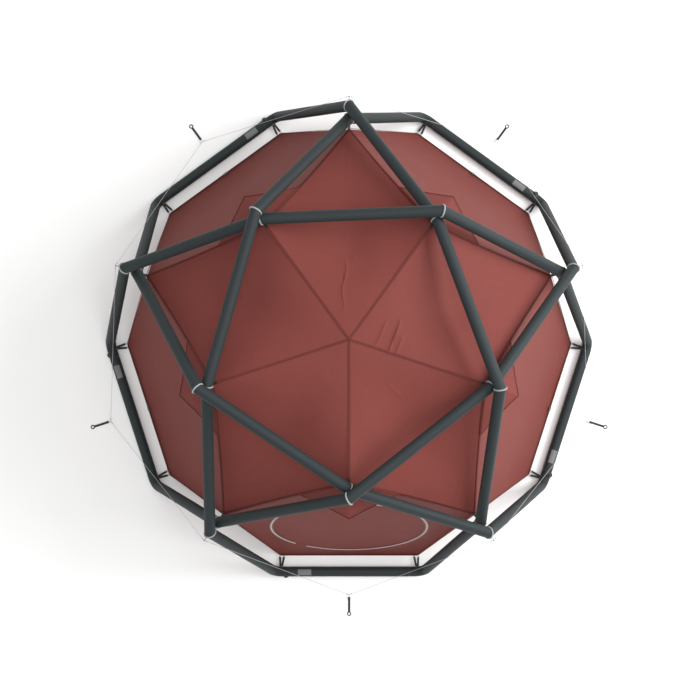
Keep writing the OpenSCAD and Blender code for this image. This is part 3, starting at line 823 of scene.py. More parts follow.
LINE_HALF = [(.862, -1.197, .870), (.619, -1.339, .627), (.375, -1.482, .384), (.253, -1.553, .263),
             (.132, -1.624, .141), (.010, -1.695, .020), (.005, -1.698, .015)]
LINE_LOW = (0, -1.699, .0137)
LINE = [Vector(p) for p in LINE_HALF + [LINE_LOW] + [(-x, y, z) for x, y, z in reversed(LINE_HALF)]]
RING_WIRE, RING_IN, RING_Z = .0025, .0085, .012


def dense(points, step):
    """The same straight stretches with more points on the long ones."""
    out = [points[0]]
    for a, b in zip(points, points[1:]):
        n = max(1, ceil((b - a).length / step))
        out += [a.lerp(b, i / n) for i in range(1, n + 1)]
    return out


class TENT_OT_guy_lines(bpy.types.Operator):
    """Makes the five guy lines with their knots, rings and peg straps"""
    bl_idname = "tent.guy_lines"
    bl_label = "Guy lines"

    def execute(self, context):
        s = context.scene.tent_fittings
        r = s.line_d / 2
        ring_y = LINE_LOW[1] - RING_IN + r + .00015
        dress(["strap_rings"], finish(context, "ring metal"))
        for k in FIFTHS:
            here = turn(72 * k)
            # webbing strap with an eye at the peg and a fold over the ring
            bm = bmesh.new()
            inner = ring_y - RING_IN - RING_WIRE / 2
            route = curve_through([Vector((0, y, z)) for y, z in (
                (-s.peg_at + s.peg_r + .003, .0002), (-1.79, .0004), (-1.764, .0012), (-1.748, .0004),
                (-1.734, .004), (inner - .004, RING_Z - .0022), (inner + .0006, RING_Z + .0002))], 5)
            ribbon(bm, route, s.strap_w, s.strap_t)
            torus(bm, Vector((0, -s.peg_at, s.strap_t / 2 + .0002)), UP, s.peg_r + .0036, .0032, sides=12,
                  steps=40, flat=.32)
            for shift in (-.0028, .0028):
                block(bm, (s.strap_w * .92, .0022, .0009),
                      Matrix.Translation((0, -s.peg_at + s.peg_r + .0105 + shift, s.strap_t + .0004)), .0003)
            for x in (-.005, 0, .005):
                rod(bm, [Vector((x, v, z)) for v, z in ((-1.728, .0125), (-1.7265, .0132), (-1.7235, .0142))],
                    .0006, 6)
            bmesh.ops.transform(bm, matrix=here, verts=bm.verts)
            piece(bm, f"peg_strap_{k + 1}", finish(context, "webbing"),
                  replaces=["peg_straps"] if k == 0 else [], wrap=2 * s.strap_w)
            bm = bmesh.new()
            torus(bm, Vector((0, -s.peg_at, s.strap_t + .0007)), UP, s.peg_r + .0012, .0011, flat=.6)
            bmesh.ops.transform(bm, matrix=here, verts=bm.verts)
            piece(bm, f"peg_eyelet_{k + 1}", finish(context, "black plastic"))
            # knots where the line is tied off and where it doubles round the ring
            bm = bmesh.new()
            for end, nxt in ((LINE[0], LINE[1]), (LINE[-1], LINE[-2])):
                way = (nxt - end).normalized()
                for i in range(4):
                    torus(bm, end + way * (.010 + i * .0021), way, r * 1.75, r * .8, sides=6, steps=14)
            for side in (1, -1):
                at = Vector((side * .0105, -1.6947, .0203))
                way = (LINE[5] - LINE[4]) if side > 0 else (LINE[9] - LINE[10])
                for i in range(3):
                    torus(bm, at - way.normalized() * (.006 + i * .0021), way, r * 1.75, r * .8, sides=6,
                          steps=14)
            bmesh.ops.transform(bm, matrix=here, verts=bm.verts)
            knots = piece(bm, f"line_knots_{k + 1}", finish(context, "guy cord"))
            points = [here @ p for p in dense(LINE, .06)]
            bm = bmesh.new()
            sweep(bm, frames_along(points, r, r), sides=8, width=2 * pi * r)
            line = piece(bm, f"tent_line_{k + 1}", finish(context, "guy cord"),
                         replaces=[f"guy_line_{k + 1}"], wrap=2 * pi * r)
        return {"FINISHED"}


# ---- air frame ----

def rounded(corners, radius, steps):
    """Replaces the middle corner of three by an arc."""
    a, b, c = corners
    before, after = (b - a).normalized(), (c - b).normalized()
    angle = before.angle(after)
    reach = radius * tan(angle / 2)
    start = b - before * reach
    inwards = (after - before * before.dot(after)).normalized()
    centre = start + inwards * radius
    return [centre - inwards * radius * cos(t) + before * radius * sin(t)
            for t in (angle * i / steps for i in range(steps + 1))]


NEAR_CORNER = (0, .0015, .004, .008, .014, .022, .032, .045, .062, .085)   # rings close to a mitre
MITRE_REACH = .062                   # how far from a mitre the rings still lean
SHORT_STRETCH = .25                  # a shorter stretch of the route leans all the way


def beam_frames(route, radius, girth):
    """Stations of a tube along route; girth(corner, gap) swells it."""
    stations = []
    first = (route[1] - route[0]).normalized()
    e1 = first.cross(UP).normalized()
    for i in range(len(route) - 1):
        p, q = route[i], route[i + 1]
        d, length = (q - p).normalized(), (q - p).length
        e2 = d.cross(e1)
        n_in = (d + (p - route[i - 1]).normalized()).normalized() if i else d
        n_out = (d + (route[i + 2] - q).normalized()).normalized() if i + 2 < len(route) else d
        if length > SHORT_STRETCH:
            far = [length - x for x in reversed(NEAR_CORNER)]
            steps = list(NEAR_CORNER[:-1]) + spread(NEAR_CORNER[-1], far[0], 9) + far[1:]
        else:
            steps = [0, length]
        for s in steps:
            if i and s == 0:
                continue
            corner, gap, n = (i, s, n_in) if s < length / 2 else (i + 1, length - s, n_out)
            w = max(0, 1 - gap / MITRE_REACH) if length > SHORT_STRETCH else 1
            w = w * w * (3 - 2 * w)
            r = radius * (1 + girth(corner, gap))
            x = (e1 - d * (e1.dot(n) / d.dot(n)) * w) * r
            y = (e2 - d * (e2.dot(n) / d.dot(n)) * w) * r
            stations.append((p + d * s, x, y))
        if i + 2 < len(route):
            e1 = e1 - n_out * (2 * n_out.dot(e1))
    return stations


HOOP_END = .098                      # how far a hoop goes on along the ground
SKIN = .0003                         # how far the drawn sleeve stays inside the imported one


def ground_ends(t, k):
    """Ends of a ground side and the direction between them."""
    a, b = t.base(36 + 72 * k), t.base(72 + 72 * k)
    return a, b, (b - a).normalized()


def mitre_folds(v, c, to, back, k, i):
    """Small folds on the inside of a mitre and faint ones all round it."""
    inner = (to + back).normalized()
    rest = v - c
    along = back if rest.dot(back) > rest.dot(to) else to
    out = (rest - along * rest.dot(along)).normalized()
    turned = atan2(out.dot(inner), out.dot(inner.cross(to).normalized()))
    depth = exp(-((rest.length - .045) / .03) ** 2)
    inside = max(0, out.dot(inner)) * (.5 + .5 * sin(turned * 17 + k * 1.3))
    return out * ((.0006 * sin(turned * 23 + k + i) - .0022 * inside) * depth)


def bend_folds(v, arc, corner, k):
    """Gathers on the inside of a rounded bend."""
    near = min(range(len(arc)), key=lambda j: (v - arc[j]).length_squared)
    if (v - arc[near]).length >= .05:
        return Vector()
    a, b, c = corner
    inner = ((a - b).normalized() + (c - b).normalized()).normalized()
    out = (v - arc[near]).normalized()
    side = max(0, out.dot(inner) + .25)
    span = sin(pi * min(1, max(0, (near + .5) / len(arc))))
    return out * (-.0042 * side * span * (.5 + .5 * sin(near * 1.35 + out.z * 1.8 + k)))


class TENT_OT_air_frame(bpy.types.Operator):
    """Makes the five inflated hoops and the five ground beams"""
    bl_idname = "tent.air_frame"
    bl_label = "Air frame"

    def execute(self, context):
        s, t = context.scene.tent_frame, Layout(context.scene)
        corners = t.hoop_corners()
        start, end = rounded(corners[0:3], s.corner_bend, 26), rounded(corners[5:8], s.corner_bend, 26)
        lead = corners[1] + (corners[0] - corners[1]).normalized() * HOOP_END
        tail = corners[6] + (corners[7] - corners[6]).normalized() * HOOP_END
        route = [lead] + start + corners[2:6] + end + [tail]
        seams = {i: c for i, c in enumerate(route) if any((c - m).length < 1e-6 for m in corners[2:6])}

        def girth(corner, gap):
            if corner in seams:
                return -.055 * exp(-(gap / .006) ** 2) + .010 * exp(-((gap - .03) / .02) ** 2)
            return -.03 * exp(-(gap / .004) ** 2) if corner in (0, len(route) - 1) else .0

        stations = beam_frames(route, t.tube_r - SKIN, girth)
        weave = finish(context, "sleeve weave")
        round_tube = 2 * pi * t.tube_r
        bends = [(start, corners[0:3]), (end, corners[5:8])]
        mitres = [(i, c, (route[i + 1] - c).normalized(), (route[i - 1] - c).normalized())
                  for i, c in seams.items()]
        for k in FIFTHS:
            bm = bmesh.new()
            for v in sweep(bm, stations, sides=TUBE_SIDES, caps=False, width=round_tube):
                moved = Vector()
                for i, c, to, back in mitres:
                    if (v.co - c).length < .16:
                        moved += mitre_folds(v.co, c, to, back, k, i)
                for arc, corner in bends:
                    moved += bend_folds(v.co, arc, corner, k)
                n = noise.noise(v.co * 5 + Vector((k * 7.1, 0, 0)))
                v.co += moved + v.co.normalized() * (.0008 * n)
            bmesh.ops.transform(bm, matrix=turn(72 * k), verts=bm.verts)
            piece(bm, f"air_hoop_{k + 1}", weave, wrap=round_tube,
                  replaces=[f"hoop_sleeve_{k + 1}"] + (["hoop_bladders"] if k == 0 else []), crease=80)
        # ground beams between the hoops' ends, with a stitched joining band at each end
        for k in FIFTHS:
            a, b, way = ground_ends(t, k)
            p, q = a + way * (HOOP_END - .002), b - way * (HOOP_END - .002)
            length = (q - p).length
            bm = bmesh.new()
            ends = (0, .002, .006, .012, .02)
            cuts = [*ends, *spread(.03, length - .03, 24), *(length - x for x in reversed(ends))]
            e1 = way.cross(UP).normalized()
            rings = []
            for c in cuts:
                gap = min(c, length - c)
                r = (t.tube_r - SKIN) * (1 - .035 * exp(-(gap / .005) ** 2))
                rings.append((p + way * c, e1 * r, e1.cross(way) * r))
            for v in sweep(bm, rings, sides=TUBE_SIDES, caps=False, width=round_tube):
                v.co += (v.co - a).normalized().cross(way) * (noise.noise(v.co * 6) * .0006)
            piece(bm, f"ground_beam_{k + 1}", weave, wrap=round_tube,
                  replaces=[f"ground_sleeve_{k + 1}"] + (["ground_bladders"] if k == 0 else []), crease=80)
        bm = bmesh.new()
        for k in FIFTHS:
            a, b, way = ground_ends(t, k)
            for at in (a + way * HOOP_END, b - way * HOOP_END):
                torus(bm, at, way, t.tube_r - .0012, .0016, sides=8, steps=48)
        piece(bm, "joining_seams", finish(context, "webbing"),
              wrap=2 * pi * .0016)
        return {"FINISHED"}


class TENT_OT_piping(bpy.types.Operator):
    """Makes the piping cords round the mitred bends"""
    bl_idname = "tent.piping"
    bl_label = "Piping"

    def execute(self, context):
        s, t = context.scene.tent_frame, Layout(context.scene)
        corners = t.hoop_corners()
        r = s.piping_d / 2
        bm = bmesh.new()
        for k in FIFTHS:
            for i in (2, 3, 4, 5):
                a, c, b = corners[i - 1], corners[i], corners[i + 1]
                d0, d1 = (c - a).normalized(), (b - c).normalized()
                n = (d0 + d1).normalized()
                long = (d0 - d1).normalized()
                short = n.cross(long)
                outer = 1 if i in (2, 4) else -1
                facing = -(c - UP * t.tube_r).normalized() * outer
                stations = []
                for w in spread(0, 2 * pi, 56)[:-1]:
                    out = long * (cos(w) * t.tube_r / n.dot(d1)) + short * (sin(w) * t.tube_r)
                    side = out.normalized()
                    press = max(0, side.dot(facing)) ** 6
                    at = c + out + side * (.0004 - .0022 * press)
                    stations.append((at, side * r * (1 - .45 * press), n * r * 1.05))
                cord = sweep(bm, stations, sides=10, closed=True, width=2 * pi * r)
                bmesh.ops.transform(bm, matrix=turn(72 * k), verts=cord)
        piece(bm, "bend_piping_cords", finish(context, "piping cord"),
              replaces=["bend_piping"], wrap=2 * pi * r)
        dress(["crossing_pads"], finish(context, "webbing core"))
        return {"FINISHED"}


# ---- fly ----

ROOF_CELLS = 92                      # cells along each side of a roof panel


class TENT_OT_roof(bpy.types.Operator):
    """Makes the star-shaped roof as one sheet with its taped ridges"""
    bl_idname = "tent.roof"
    bl_label = "Roof"

    def execute(self, context):
        y, t = context.scene.tent_fly, Layout(context.scene)
        bm = bmesh.new()
        for k in FIFTHS:
            az = 90 + 72 * k

            def place(u, v):
                p = t.roof(az, u, v)
                a = radians(az)
                return p, -p.x * sin(a) + p.y * cos(a), p.x * cos(a) + p.y * sin(a)
            grid(bm, ROOF_CELLS, ROOF_CELLS, place)
        bmesh.ops.remove_doubles(bm, verts=bm.verts, dist=MERGE)
        roof = piece(bm, "fly_roof", finish(context, "roof cloth"),
                     replaces=[f"roof_panel_{k + 1}" for k in FIFTHS], thickness=y.cloth_t,
                     outwards=lambda p: UP, crease=180)
        # ridge tapes with two rows of stitching
        tape, thread = bmesh.new(), bmesh.new()
        for k in FIFTHS:
            az = 90 + 72 * k
            line = [t.roof(az, 0, v) + UP * .0003 for v in spread(.004, .989, 60)]
            ribbon(tape, line, y.seam_w, .0012)
            side = polar(1, az + 36 + 90, 0)
            for shift in (-.0042, .0042):
                stitch_row(thread, [p + side * shift + UP * .0013 for p in line], UP)
        lathe(tape, [(0, .0019), (.006, .0017), (.010, .0010), (.0105, -.0004)],
              Matrix.Translation(t.roof(90, 0, 0)), 36)
        seams = piece(tape, "ridge_tapes", finish(context, "fly trim"),
                      replaces=["roof_seams"], wrap=2 * y.seam_w)
        stitches = piece(thread, "ridge_stitching", finish(context, "fly thread"))
        return {"FINISHED"}


def outline_of(t):
    """Points round a wall, in its own frame, with the star's bowed edges; the start is the base's middle."""
    local = t.wall(-90).inverted()
    base = [Vector((t.base_half * x, 0, 0)) for x in spread(-1, 1, 30)[:-1]]
    right = [Vector((t.base_half, 0, 0)).lerp(Vector((t.mid_half, t.mid_y, 0)), i / 28) for i in range(28)]
    upper = [local @ t.star_edge(-90, 1, 1 - i / 40) for i in range(40)]
    down = [local @ t.star_edge(-90, -1, i / 40) for i in range(40)]
    left = [Vector((-t.mid_half, t.mid_y, 0)).lerp(Vector((-t.base_half, 0, 0)), i / 28) for i in range(28)]
    return base + right + upper + down + left


SLACK = .010                         # how far a wall's middle hangs inwards
WALL_RINGS = 24                      # rings of cloth between the door's rim and the panel's edge


def wall_ripple(p, seed):
    """How far a wall's cloth stands in or out: a slack middle, tension lines and slow unevenness."""
    lines = .0016 * sin(p.x * 30 + noise.noise(Vector((p.x * 4, p.y * 3, seed))) * 3)
    slow = noise.noise(Vector((p.x * 2.4, p.y * 1.8, seed + 5))) * .008
    return -SLACK + lines * exp(-((p.y - .15) / .25) ** 2) + slow


class TENT_OT_walls(bpy.types.Operator):
    """Makes the fly's sloping walls and corner panels as one sheet with its door hole and vents"""
    bl_idname = "tent.walls"
    bl_label = "Walls"

    def execute(self, context):
        y, t = context.scene.tent_fly, Layout(context.scene)
        outline = outline_of(t)
        count = len(outline)
        centre = Vector((0, t.door_y, 0))
        rim = [centre + (p - centre).normalized() * t.door_r for p in (Vector((q.x, q.y, 0)) for q in outline)]
        whole = bmesh.new()
        for k in FIFTHS:
            az = 54 + 72 * k
            front = k == 3
            bm = bmesh.new()
            across, along = layers(bm)
            mark = bm.verts.layers.int.new("mark")
            ring = bmesh.ops.create_circle(bm, cap_ends=False, radius=1, segments=count)["verts"]
            ring = sorted(ring, key=lambda v: atan2(v.co.y, v.co.x))
            shift = min(range(count), key=lambda i: atan2(rim[i].y - centre.y, rim[i].x))
            for i, v in enumerate(ring):
                v[mark] = (i + shift) % count

            def place(v, s):
                i = v[mark]
                if s >= 0:
                    p = rim[i].lerp(outline[i], s)
                    weight = sin(pi * s) if front else (1 - s ** 3)
                else:
                    p, weight = rim[i].lerp(centre, -s), 1
                near_vent = exp(-((p.y - (t.vent_top - t.vent_h)) / .2) ** 2) if p.y < t.vent_top else 1
                p = p + Vector((0, 0, wall_ripple(p, k) * weight * (1 - near_vent)))
                v.co, v[across], v[along] = p, p.x, p.y
            for v in ring:
                place(v, 0)
            edges = list({e for v in ring for e in v.link_edges})
            inner = edges
            for step in range(1, WALL_RINGS + 1):
                new, edges = extruded(bm, edges)
                for v in new:
                    place(v, step / WALL_RINGS)
            if not front:
                edges = inner
                for step in (.12, .25, .4, .55, .7, .84, .95):
                    new, edges = extruded(bm, edges)
                    for v in new:
                        place(v, -step)
                bmesh.ops.contextual_create(bm, geom=edges)
            # vent window
            low, half, top = t.vent_top - t.vent_h, t.vent_half, t.vent_top
            lean = Vector((t.vent_h, half, 0)).normalized()
            sides = [(Vector((0, low, 0)), Vector((0, -1, 0))), (Vector((half, low, 0)), lean),
                     (Vector((-half, low, 0)), Vector((-lean.x, lean.y, 0)))]
            for at, out in sides:
                near = [f for f in bm.faces if abs(f.calc_center_median().x) < half + .06
                        and low - .05 < f.calc_center_median().y < top + .04]
                geom = near + list({e for f in near for e in f.edges} | {v for f in near for v in f.verts})
                bmesh.ops.bisect_plane(bm, geom=geom, dist=1e-6, plane_co=at, plane_no=out)
            gone = [f for f in bm.faces
                    if all((f.calc_center_median() - at).dot(out) < 0 for at, out in sides)]
            bmesh.ops.delete(bm, geom=gone, context="FACES")
            bmesh.ops.recalc_face_normals(bm, faces=bm.faces)
            if sum(f.normal.z * f.calc_area() for f in bm.faces) < 0:
                bmesh.ops.reverse_faces(bm, faces=bm.faces)
            bmesh.ops.transform(bm, matrix=t.wall(az), verts=bm.verts)
            mesh = bpy.data.meshes.new("panel")
            bm.to_mesh(mesh)
            bm.free()
            whole.from_mesh(mesh)
            bpy.data.meshes.remove(mesh)
        layers(whole)
        for k in FIFTHS:
            az = 18 + 72 * k
            left, right, here = t.wall(az - 36), t.wall(az + 36), t.wall(az, t.corner_angle)
            normal = (here.to_3x3() @ UP).normalized()

            def place(u, v):
                a = left @ Vector((t.base_half, 0, 0)).lerp(Vector((t.mid_half, t.mid_y, 0)), v)
                b = right @ Vector((-t.base_half, 0, 0)).lerp(Vector((-t.mid_half, t.mid_y, 0)), v)
                p = a.lerp(b, u)
                flat_p = here.inverted() @ p
                weight = min(1, 6 * u * (1 - u) * (1 - v)) * min(1, v * 6)
                p = p + normal * (wall_ripple(flat_p, k + 9) * weight * .7)
                return p, flat_p.x, flat_p.y
            grid(whole, 16, 28, place)
        bmesh.ops.remove_doubles(whole, verts=whole.verts, dist=2e-4)
        walls = piece(whole, "fly_walls", finish(context, "fly cloth"),
                      replaces=["front_wall"] + [f"side_wall_{k}" for k in (1, 2, 3, 4)]
                      + [f"corner_panel_{k + 1}" for k in FIFTHS], thickness=y.cloth_t,
                      outwards=lambda p: Vector((p.x, p.y, .3)), crease=180)
        # hems round the base and along the star's edges, felled seams between the panels
        hems, thread, seams = bmesh.new(), bmesh.new(), bmesh.new()
        for k in range(10):
            az = 18 + 36 * k
            m = t.wall(az, t.corner_angle if k % 2 == 0 else t.wall_angle)
            n = (m.to_3x3() @ UP).normalized()
            line = [m @ Vector((x * (t.base_half - .003), y.hem_w / 2, .0006)) for x in (-1, -.5, 0, .5, 1)]
            ribbon(hems, line, y.hem_w, .0014, up=n)
            for shift in (-.0095, .0095):
                stitch_row(thread, [m @ Vector((x * (t.base_half - .006), y.hem_w / 2 + shift, .0021))
                                    for x in (-1, 1)], n)
            if k % 2:
                continue
            for way in (-1, 1):
                wall = t.wall(az + 36 * way)
                a = wall @ Vector((-way * t.base_half, .01, 0))
                b = wall @ Vector((-way * t.mid_half, t.mid_y - .03, 0))
                nn = (n + (wall.to_3x3() @ UP)).normalized()
                ribbon(seams, [a.lerp(b, i / 12) + nn * .0002 for i in range(13)], .010, .0011, up=nn)
                side = (b - a).normalized().cross(nn)
                for shift in (-.0032, .0032):
                    stitch_row(thread, [p + side * shift + nn * .0013 for p in (a, b)], nn)
        for k in FIFTHS:
            az = 54 + 72 * k
            inner = (t.wall(az).to_3x3() @ Vector((0, -1, 0))).normalized()
            wall_n = (t.wall(az).to_3x3() @ UP).normalized()
            for way in (-1, 1):
                line = [t.star_edge(az, way, i / 40) for i in range(1, 41)]
                strip = [p + inner * (y.hem_w * .42) + wall_n * .0012 for p in line]
                ribbon(hems, strip, y.hem_w * .84, .0013, up=wall_n)
                for shift in (.14, .7):
                    stitch_row(thread, [p + inner * (y.hem_w * shift) + wall_n * .0027 for p in line], wall_n)
        hem = piece(hems, "fly_hems", finish(context, "fly trim"),
                    replaces=["base_hems", "roof_hems"], wrap=2 * y.hem_w)
        felled = piece(seams, "wall_seams", finish(context, "fly cloth"), wrap=.02)
        stitches = piece(thread, "fly_stitching", finish(context, "fly thread"))
        dress(["vent_meshes"], finish(context, "vent net"))
        return {"FINISHED"}


class TENT_OT_hoods(bpy.types.Operator):
    """Makes the pointed hoods over the vents"""
    bl_idname = "tent.hoods"
    bl_label = "Vent hoods"

    def execute(self, context):
        y, t = context.scene.tent_fly, Layout(context.scene)
        for k in FIFTHS:
            az = 54 + 72 * k
            out = polar(1, az, 0)
            tip = polar(y.hood_r, az, y.hood_z)
            rise = out * .0022 + UP * .0026

            def top(u):
                return t.star_edge(az, -1 if u < .5 else 1, y.hood_share * abs(2 * u - 1)) + rise

            def low(u):
                reach = abs(2 * u - 1)
                corner = t.star_edge(az, -1 if u < .5 else 1, y.hood_share) + rise
                return tip.lerp(corner, reach) + (out * -.006 + UP * .010) * sin(pi * reach)

            def place(u, v):
                p = top(u).lerp(low(u), v)
                reach = abs(2 * u - 1)
                puff = sin(pi * v) * .010 * (1 - reach) * (.35 + reach)
                p = p + (UP * .8 + out * .6) * puff
                p += UP * (noise.noise(p * 7 + Vector((0, 0, k))) * .002 * sin(pi * v) * (1 - reach))
                return p, (u - .5) * .62, v * .17
            bm = bmesh.new()
            grid(bm, 44, 16, place)
            bmesh.ops.remove_doubles(bm, verts=bm.verts, dist=MERGE)
            hood = piece(bm, f"vent_hood_{k + 1}", finish(context, "fly cloth"),
                         replaces=["vent_hoods"] if k == 0 else [], thickness=y.cloth_t,
                         outwards=lambda p: UP + out * .5, crease=180)
            # brim with its stiffener, and the tape where the hood is sewn on
            bm, thread = bmesh.new(), bmesh.new()
            edge = spread(.01, .99, 48)
            brim = [low(u) for u in edge]
            sweep(bm, frames_along(brim, .0032, .0024, up=out), sides=8, width=.018)
            sewn = [top(u) + UP * .0006 for u in edge]
            ribbon(bm, sewn, .011, .0012)
            stitch_row(thread, [p + UP * .0014 for p in sewn], UP)
            inset = [low(u).lerp(top(u), .07) + (UP + out * .6) * .0016 for u in spread(.06, .94, 40)]
            stitch_row(thread, inset, (UP + out * .6).normalized())
            trim = piece(bm, f"hood_binding_{k + 1}", finish(context, "fly trim"),
                         wrap=.018)
            sewing = piece(thread, f"hood_stitching_{k + 1}", finish(context, "fly thread"))
        return {"FINISHED"}


class TENT_OT_groundsheet(bpy.types.Operator):
    """Makes the groundsheet with its creases and bound edge"""
    bl_idname = "tent.groundsheet"
    bl_label = "Groundsheet"

    def execute(self, context):
        t = Layout(context.scene)
        reach = t.apothem - .004
        bm = bmesh.new()

        def place(u, v):
            a = 2 * pi * u
            edge_a = (a % radians(36)) - radians(18)
            far = reach / cos(edge_a)
            p = Vector((cos(a), sin(a), 0)) * (far * v)
            bump = (noise.noise(Vector((p.x * 3, p.y * 3, 2)))
                    + .5 * noise.noise(Vector((p.x * 9, p.y * 9, 4))))
            p.z = .0008 + .0022 * max(0, bump) * (1 - v ** 8)
            return p, p.x, p.y
        grid(bm, 160, 60, place)
        bmesh.ops.remove_doubles(bm, verts=bm.verts, dist=MERGE)
        sheet = piece(bm, "floor_sheet", finish(context, "groundsheet"),
                      replaces=["groundsheet"], thickness=.0006, outwards=lambda p: UP, crease=180)
        bm = bmesh.new()
        far = reach / cos(radians(18)) - .006
        for k in range(10):
            a, b = polar(far, 36 * k, .0009), polar(far, 36 * k + 36, .0009)
            ribbon(bm, [a, a.lerp(b, .5), b], .010, .0012)
        binding = piece(bm, "floor_binding", finish(context, "webbing"), wrap=.02)
        return {"FINISHED"}


# ---- door ----

class TENT_OT_door(bpy.types.Operator):
    """Makes the round door with its hem, zip and sliders"""
    bl_idname = "tent.door"
    bl_label = "Door"

    def execute(self, context):
        d, y, t = context.scene.tent_door, context.scene.tent_fly, Layout(context.scene)
        c = context.scene.tent_finishes
        at = t.wall(-90) @ Matrix.Translation((0, t.door_y, 0))
        n = (at.to_3x3() @ UP).normalized()
        r = t.door_r - .0006

        def ring(radius, z):
            """Closed route round the door at a height above its cloth."""
            return [at @ Vector((cos(a) * radius, sin(a) * radius, z)) for a in spread(0, 2 * pi, 120)]

        def place(u, v):
            a = 2 * pi * u
            p = Vector((cos(a), sin(a), 0)) * (r * v)
            ripple = (noise.noise(Vector((p.x * 2.6, p.y * 2.2, 8))) * .012
                      + .0018 * sin(a * 9 + 2 * sin(3 * a)) * v ** 3)
            p.z = (.004 * (1 - v * v) + ripple * (1 - v ** 4) * v ** .3)
            return at @ p, p.x, p.y
        bm = bmesh.new()
        grid(bm, 144, 40, place)
        bmesh.ops.remove_doubles(bm, verts=bm.verts, dist=MERGE)
        flap = piece(bm, "door_panel", finish(context, "fly cloth"), body="door",
                     replaces=["door_flap"], thickness=y.cloth_t, outwards=lambda p: n, crease=180)
        bm, thread = bmesh.new(), bmesh.new()
        sweep(bm, frames_along(ring(r - .017, .0012), .0045, .0006, up=n), sides=8, square=.4, width=.02)
        for radius in (r - .0145, r - .0195):
            stitch_row(thread, ring(radius, .0019), n)
        facing = piece(bm, "door_facing", finish(context, "fly cloth"), body="door",
                       wrap=.02)
        sewing = piece(thread, "door_stitching", finish(context, "fly thread"), body="door")
        # fabric hinge from the wall to the door, bending where they meet
        line = Vector((cos(d.hinge), sin(d.hinge), 0))
        tangent = Vector((-line.y, line.x, 0))
        bm = bmesh.new()

        def hinge_place(u, v):
            x = (u - .5) * .080
            far = sqrt(t.door_r ** 2 - x * x)
            p = line * (far + (.5 - v) * .030) + tangent * x + UP * (.0010 + .0003 * sin(pi * v))
            return at @ p, x, v * .030
        grid(bm, 24, 16, hinge_place)
        hinge = piece(bm, "door_hinge_fabric", finish(context, "fly cloth"),
                      thickness=y.cloth_t, outwards=lambda p: n, crease=180)
        hinge.parent = None
        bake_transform(hinge, "frame", "door", start=at @ (line * (t.door_r + .004)),
                 end=at @ (line * (t.door_r - .010)))
        coil = zip_finish("zip coil", tuple(c.zip), tuple(x * .85 for x in c.fly), at.translation,
                          t.door_r, .0046)
        dress(["door_zip_tape", "wall_zip_tape"], coil)
        # coil teeth on both sides of the meeting line, left out at the fabric hinge
        free, teeth = radians(5.4), 760
        for name, body, side in (("door_zip_teeth", "door", -1), ("wall_zip_teeth", "frame", 1)):
            bm = bmesh.new()
            for i in range(teeth):
                a = d.hinge + free + (2 * pi - 2 * free) * (i + .5) / teeth
                out = Vector((cos(a), sin(a), 0))
                base = out * (t.door_r + side * .0014)
                made = bmesh.ops.create_cube(bm, size=1)["verts"]
                tilt = Matrix.Rotation(a + side * .35, 4, "Z")
                bmesh.ops.transform(bm, matrix=at @ Matrix.Translation(base + UP * .0026) @ tilt
                                    @ Matrix.Diagonal((.0026, .0016, .0009, 1)), verts=made)
            piece(bm, name, finish(context, "zip teeth"), body=body)
        for number, way, body in ((1, 1, "upper_slider"), (2, -1, "lower_slider")):
            step = d.slider_l / t.door_r / 2 + radians(.15)
            m = (at @ Matrix.Rotation(d.hinge + pi + way * step, 4, "Z")
                 @ Matrix.Translation((t.door_r, 0, 0)))
            bm = bmesh.new()
            block(bm, (.0062, d.slider_l * .98, .0016), m @ Matrix.Translation((.0042, 0, .0060)), .0006)
            block(bm, (.0040, d.slider_l * .90, .0030), m @ Matrix.Translation((.0062, 0, .0040)), .0006)
            bridge = [Vector((.0042, v, z)) for v, z in
                      ((-.0055, .0066), (-.0040, .0082), (.0040, .0082), (.0055, .0066))]
            rod(bm, [m @ p for p in curve_through(bridge, 4)], .0008, 8, up=n)
            torus(bm, m @ Vector((.0042, way * -.0035, .0084)), m.to_3x3() @ Vector((1, 0, .2)),
                  .0026, .0006, sides=6, steps=16)
            piece(bm, f"zip_slider_body_{number}", finish(context, "zip metal"), body=body,
                  replaces=[f"zip_slider_{number}"])
            bm = bmesh.new()
            pull = [m @ Vector((.0044, way * -v, z)) for v, z in
                    ((.005, .0086), (.012, .0082), (.022, .0080), (.033, .0078))]
            ribbon(bm, pull, .0052, .0016, up=n)
            piece(bm, f"zip_pull_{number}", finish(context, "webbing"), body=body,
                  wrap=.0104)
        return {"FINISHED"}


# ---- straps, hooks and valves ----

